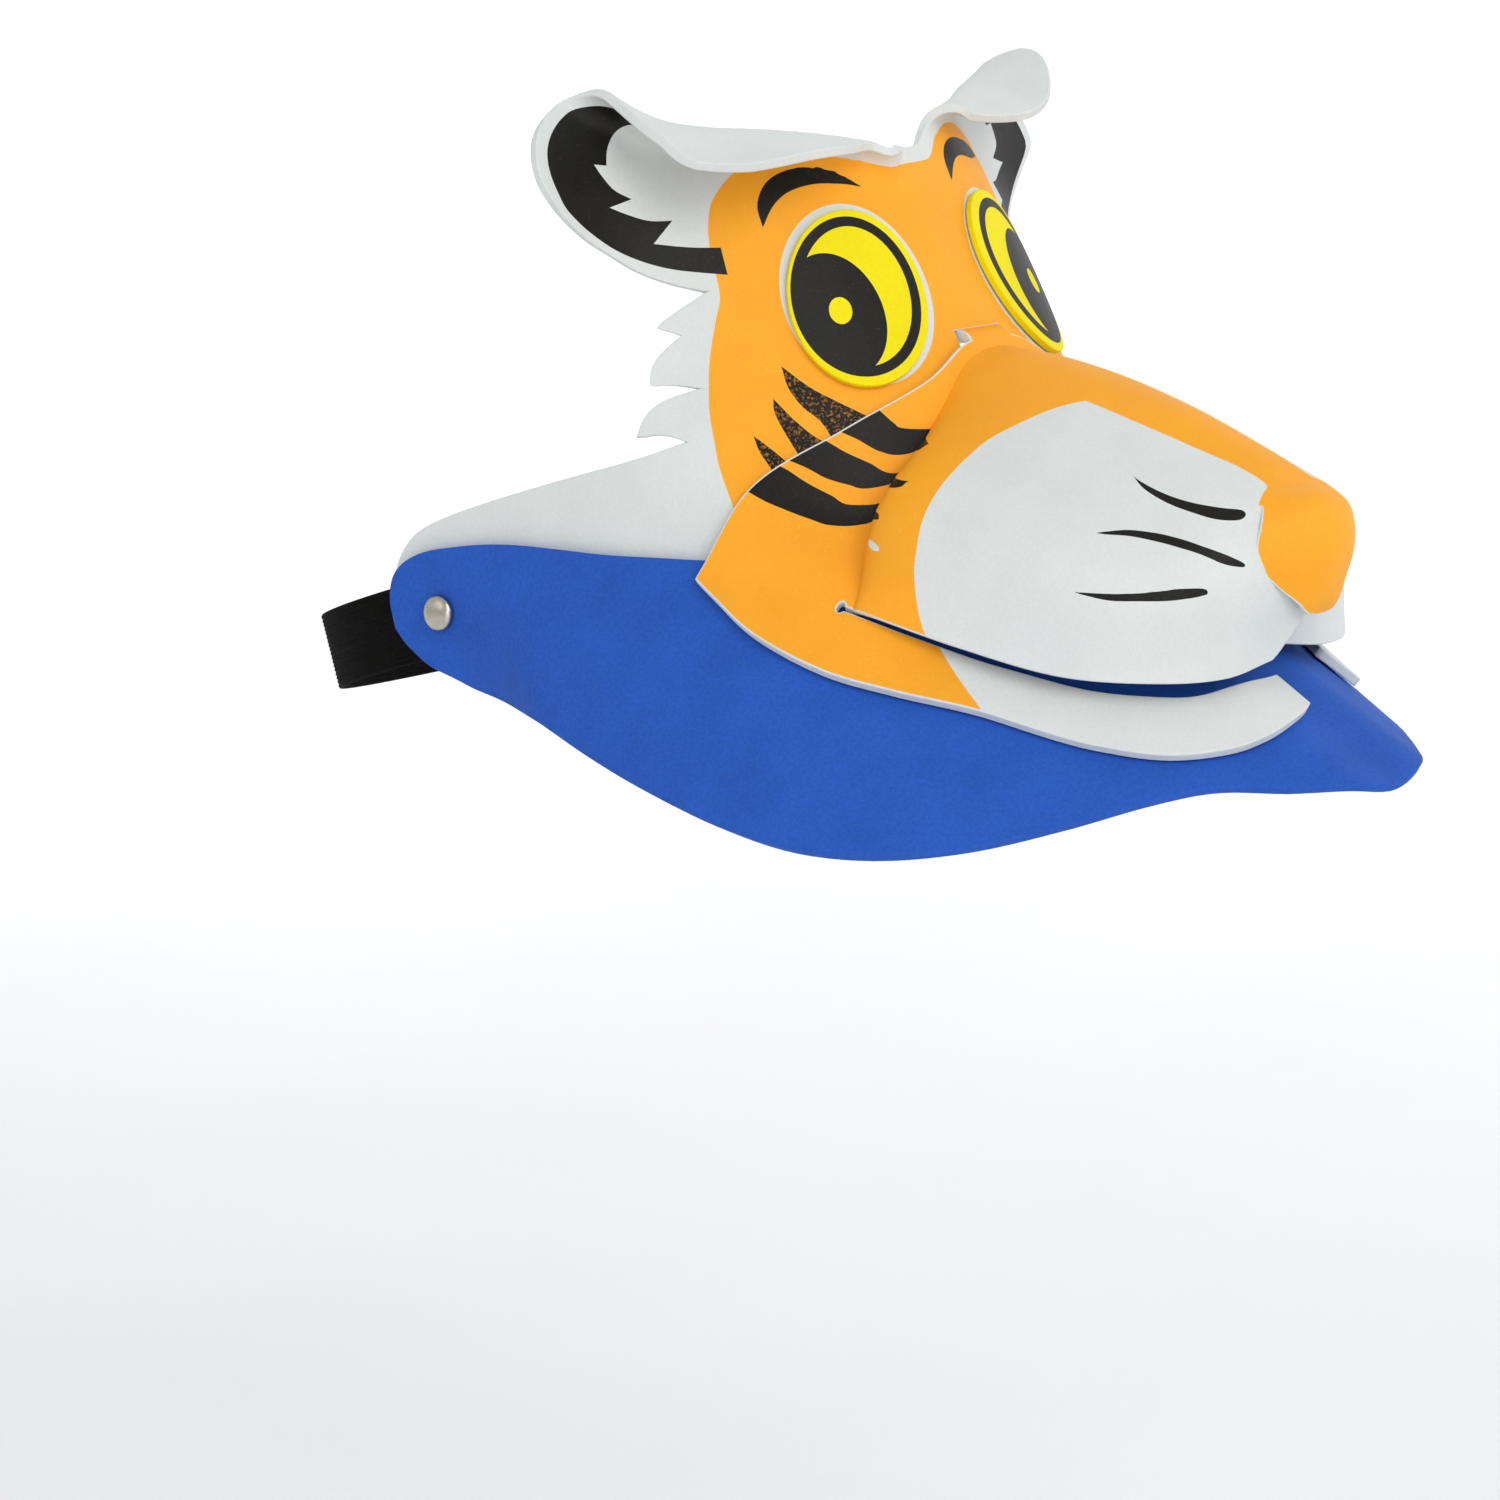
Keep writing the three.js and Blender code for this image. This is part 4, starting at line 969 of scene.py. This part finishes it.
def muzzle_outline():
    """Half outline of the muzzle pattern: tab, back edge, jaw strip, mouth slit, cheek and nose."""
    tab, nose = TAB_SHARE * SHARE_MM * TAB_CUT, NOSE_SHARE * SHARE_MM
    jaw_edge, lip = SHARE_MM + JAW_MM, SHARE_MM
    slit_end, cheek_end = SLIT_ROW * ROW_MM, (SLIT_ROW + CHEEK_ROWS) * ROW_MM
    nose_end = (SLIT_ROW + NOSE_ROWS) * ROW_MM
    hole, radius = CORNER_HOLE["row"] * ROW_MM, CORNER_HOLE["radius"]
    angles = np.radians(range(30, 331, 30))
    arc = [(hole + radius * math.cos(a), lip + radius * math.sin(a)) for a in angles]
    corners = [
        (-ROW_MM, tab), (0, tab), (0, jaw_edge), (slit_end, jaw_edge), (slit_end, lip + SLIT_HALF), *arc,
        (cheek_end, lip - SLIT_HALF), (cheek_end, nose + SLIT_HALF), (slit_end, nose),
        (slit_end + SLIT_OPENS, nose - SLIT_HALF), (nose_end, nose - SLIT_HALF), (nose_end, 0),
    ]
    return stroke_loop([[corner] for corner in corners], start=(-ROW_MM, 0))


def muzzle():
    half = np.vstack([muzzle_outline(), [[(SLIT_ROW + NOSE_ROWS) * ROW_MM, 0]]])
    outline = np.vstack([half, (half * [1, -1])[1:-1][::-1]])
    halves = [(stroke_loop([muzzle_spot(stroke) for stroke in CHEEK_WHITE]), 0)]
    halves.append((stroke_loop([jaw_spot(stroke) for stroke in JAW_WHITE]), 0))
    for shape in MUZZLE_STRIPES + WHISKERS:
        halves.append((stroke_loop([muzzle_spot(stroke) for stroke in shape], PRINT_STEP), 2))
    dot = (WHITE_DOT["row"] * ROW_MM, WHITE_DOT["share"] * SHARE_MM)
    halves.append((oval(dot, WHITE_DOT["long"], WHITE_DOT["radius"], step=PRINT_STEP), 0))
    prints = [(loop * np.array([1, side]), material) for side in (1, -1) for loop, material in halves]
    corner, fold, lip = CORNER_HOLE["row"] * ROW_MM, FOLD_ROW * ROW_MM, SHARE_MM
    creases = [
        [(0, -lip), (corner, -lip)],
        [(0, lip), (corner, lip)],
        [(fold, CREASE_INSET - lip), (fold, lip - CREASE_INSET)],
        [(0, -TAB_CREASE), (0, TAB_CREASE)],
    ]
    lines = [smooth_line(crease, OUTLINE_STEP) for crease in creases]
    materials = [WHITE_FOAM, ORANGE_INK, BLACK_INK]
    foam_sheet("muzzle_sheet", outline, muzzle_points, FOAM, materials, "muzzle_foam", "muzzle",
               prints=prints, lines=lines, ground=1, step=1.7)


def eye(name, side):
    """A raised foam oval with its printed ring, pupil and highlight."""
    lift = FOAM / 2 + GAP + EYE["thick"] / 2
    middle_u, middle_v = EYE_MIDDLE[side]
    cos, sin = math.cos(EYE["tilt"]), math.sin(EYE["tilt"])
    turn = np.array([[cos, sin], [-sin, cos]])

    def place(spots):
        spread = spots @ turn
        return face_points(side * (middle_u + spread[:, 0]), middle_v + spread[:, 1], lift)

    outline = oval((0, 0), EYE["half_wide"], EYE["half_tall"])[::-1 if side < 0 else 1]
    centre, *half = EYE_RING[side]
    centre, half = np.array(centre), np.array(half)
    outer = oval(centre, *half, step=PRINT_STEP)
    yellow = oval(centre, *(half - EYE_RING_WIDTH), step=PRINT_STEP)
    pupil = oval(*EYE_PUPIL[side], step=PRINT_STEP)
    reach = np.linalg.norm((pupil - centre) / (half - PUPIL_INSET), axis=1)
    pupil = centre + (pupil - centre) / np.maximum(reach, 1)[:, None]
    light = oval(*EYE_LIGHT[side], step=FINE_STEP)
    prints = [(outer, 1), (yellow, 0), (pupil, 1), (light, 0)]
    foam_sheet(name + "_oval", outline, place, EYE["thick"], [YELLOW_FOAM, BLACK_INK], "eye_foam", name,
               prints=prints, step=1.6, flipped=side < 0)


def band_faces(first, rings, sides):
    """Faces between neighbouring rings of points, which are numbered from first on."""
    faces = []
    for start in range(first, first + (rings - 1) * sides, sides):
        for n in range(sides):
            after = (n + 1) % sides
            faces.append([start + n, start + sides + n, start + sides + after, start + after])
    return faces


def turned_solid(name, profile, base, axis, material, slot, node, sides=48):
    """A solid of revolution from radius and height pairs along an axis, closed at both ends."""
    across = unit(np.cross(axis, [0, 0, 1.0]))
    upward = np.cross(axis, across)
    angle = np.linspace(0, 2 * math.pi, sides, endpoint=False)
    around = np.outer(np.cos(angle), across) + np.outer(np.sin(angle), upward)
    profile = np.array(profile)
    points = [base + axis * profile[0][1]]
    for radius, height in profile[1:-1]:
        points.extend(base + axis * height + around * radius)
    points.append(base + axis * profile[-1][1])
    faces = [[a, d, c, b] for a, b, c, d in band_faces(1, len(profile) - 2, sides)]
    last = len(points) - 1
    first = last - sides
    for n in range(sides):
        after = (n + 1) % sides
        faces += [[0, 1 + after, 1 + n], [last, first + n, first + after]]
    piece = mesh_object(name, points, faces, [0] * len(faces), [material], None, slot, node)
    corners = piece.modifiers.new("soft_corners", "BEVEL")
    corners.width = RIVET["bevel"] * MM
    corners.segments = 2
    corners.limit_method = "ANGLE"
    corners.angle_limit = math.radians(28)
    corners.harden_normals = True


def rivet_place(side, height=0.0):
    """The point of a rivet's axis at a height above the middle of the panel."""
    return face_points(np.array([side * RIVET["u"]]), np.array([RIVET["v"]]), height)[0]


def rivet(name, side):
    """Rivet through brim, wing and strap: domed cap outside, post and washer inside."""
    at, above = rivet_place(side), rivet_place(side, 1.0)
    under = LAYER + FOAM / 2 + 2 * GAP
    washer_top = -(FOAM / 2 + STRAP["thick"] + RIVET["play"])
    cap, post, rim = RIVET["cap"], RIVET["post"], under + RIVET["rim"]
    profile = [(radius, washer_top - WASHER[-1][1] + height) for radius, height in WASHER]
    profile += [(post, washer_top), (post, under), (cap, under)]
    profile += [(cap * math.cos(a), rim + RIVET["dome"] * math.sin(a)) for a in DOME_ANGLES]
    turned_solid(name + "_metal", profile, at, above - at, METAL, "rivet_metal", name)


def elastic_strap():
    """Ribbed elastic tape from rivet to rivet behind the head, with a rounded rib for each cord in it."""
    side_run = along(STRAP_LOOP, np.linspace(0, len(STRAP_LOOP) - 1, STRAP_STATIONS))
    run = np.vstack([side_run, mirrored(side_run[:-1][::-1])])
    _, y, z = rivet_place(1)
    slope, rise = math.cos(STRAP["drop"]), math.sin(STRAP["drop"])
    centre = np.stack([run[:, 0], y + run[:, 1] * slope, z - run[:, 1] * rise], axis=1)
    width = np.array([0, rise, slope])
    outward = unit(np.cross(unit(np.gradient(centre, axis=0)), width))
    count = STRAP["ribs"] * RIB_CUTS
    spread = np.linspace(-1, 1, count + 1)
    wave = 0.5 - 0.5 * np.cos(spread * math.pi * STRAP["ribs"])
    height = STRAP["thick"] / 2 - STRAP["rib"] * (1 - wave)
    front = np.stack([spread * STRAP["width"] / 2, height], axis=1)
    section = np.vstack([front, (front * [1, -1])[::-1]])
    flat, thick = section[:, :1] * width, section[:, 1:]
    points = np.vstack([at + flat + thick * out for at, out in zip(centre, outward)])
    around = len(section)
    faces = band_faces(0, len(centre), around)
    for first, turn in ((0, 1), ((len(centre) - 1) * around, -1)):
        for n in range(count):
            quad = [first + n, first + n + 1, first + around - 2 - n, first + around - 1 - n]
            faces.append(quad[::turn])
    mesh_object("strap_tape", points, faces, [0] * len(faces), [ELASTIC], None, "elastic", "elastic_strap")


def camera():
    data = bpy.data.cameras.new("camera")
    data.lens = CAMERA["lens"]
    data.sensor_width = CAMERA["sensor"]
    data.clip_start = CAMERA["near"]
    piece = linked("camera", data)
    bearing, above = CAMERA["bearing"], CAMERA["above"]
    level = math.cos(above)
    toward = Vector((math.sin(bearing) * level, math.cos(bearing) * level, -math.sin(above)))
    turn = toward.to_track_quat("-Z", "Y").to_matrix().to_4x4()
    piece.matrix_world = Matrix.Translation(CAMERA["place"]) @ turn
    bpy.context.scene.camera = piece


def area_light(name, place, size, power, aim):
    data = bpy.data.lights.new(name, "AREA")
    data.shape = "DISK"
    data.size = size
    data.energy = power
    piece = linked(name, data)
    piece.location = place
    piece.rotation_euler = (Vector(aim) - Vector(place)).to_track_quat("-Z", "Y").to_euler()


def floor():
    """A wide pale sweep well below the visor, rising far behind it on every side."""
    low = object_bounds()[0][2] - FLOOR_DROP
    points = [(0, 0, low)]
    for radius, height in FLOOR_RINGS:
        for angle in np.linspace(0, 2 * math.pi, FLOOR_SIDES, endpoint=False):
            points.append((radius * math.cos(angle), radius * math.sin(angle), low + height))
    faces = band_faces(1, len(FLOOR_RINGS), FLOOR_SIDES)
    faces += [[0, 1 + n, 1 + (n + 1) % FLOOR_SIDES] for n in range(FLOOR_SIDES)]
    mesh = bpy.data.meshes.new("floor")
    mesh.from_pydata(points, [], faces)
    mesh.polygons.foreach_set("use_smooth", [True] * len(faces))
    piece = linked("floor", mesh)
    material, nodes, links, shader, place = new_material("floor_paint", 0.85, 0.1)
    patches = noise(nodes, links, place, 300.0)
    tint = ramp(nodes, links, patches, [(0.3, (0.86,) * 3), (0.7, (0.9,) * 3)])
    links.new(tint, shader.inputs["Base Color"])
    mesh.materials.append(material)
    piece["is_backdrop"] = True


def surroundings():
    floor()
    for name, (place, size, power, aim) in LIGHTS.items():
        area_light(name, place, size, power, aim)
    world = bpy.data.worlds.new("studio")
    world.use_nodes = True
    background = world.node_tree.nodes["Background"]
    background.inputs["Color"].default_value = SKY
    background.inputs["Strength"].default_value = SKY_STRENGTH
    bpy.context.scene.world = world
    bpy.context.scene.view_settings.view_transform = "Standard"


def build():
    camera()
    face_panel()
    visor_brim()
    muzzle()
    for name, side in (("right", -1), ("left", 1)):
        eye("eye_" + name, side)
        rivet("rivet_" + name, side)
    elastic_strap()
    surroundings()


build()
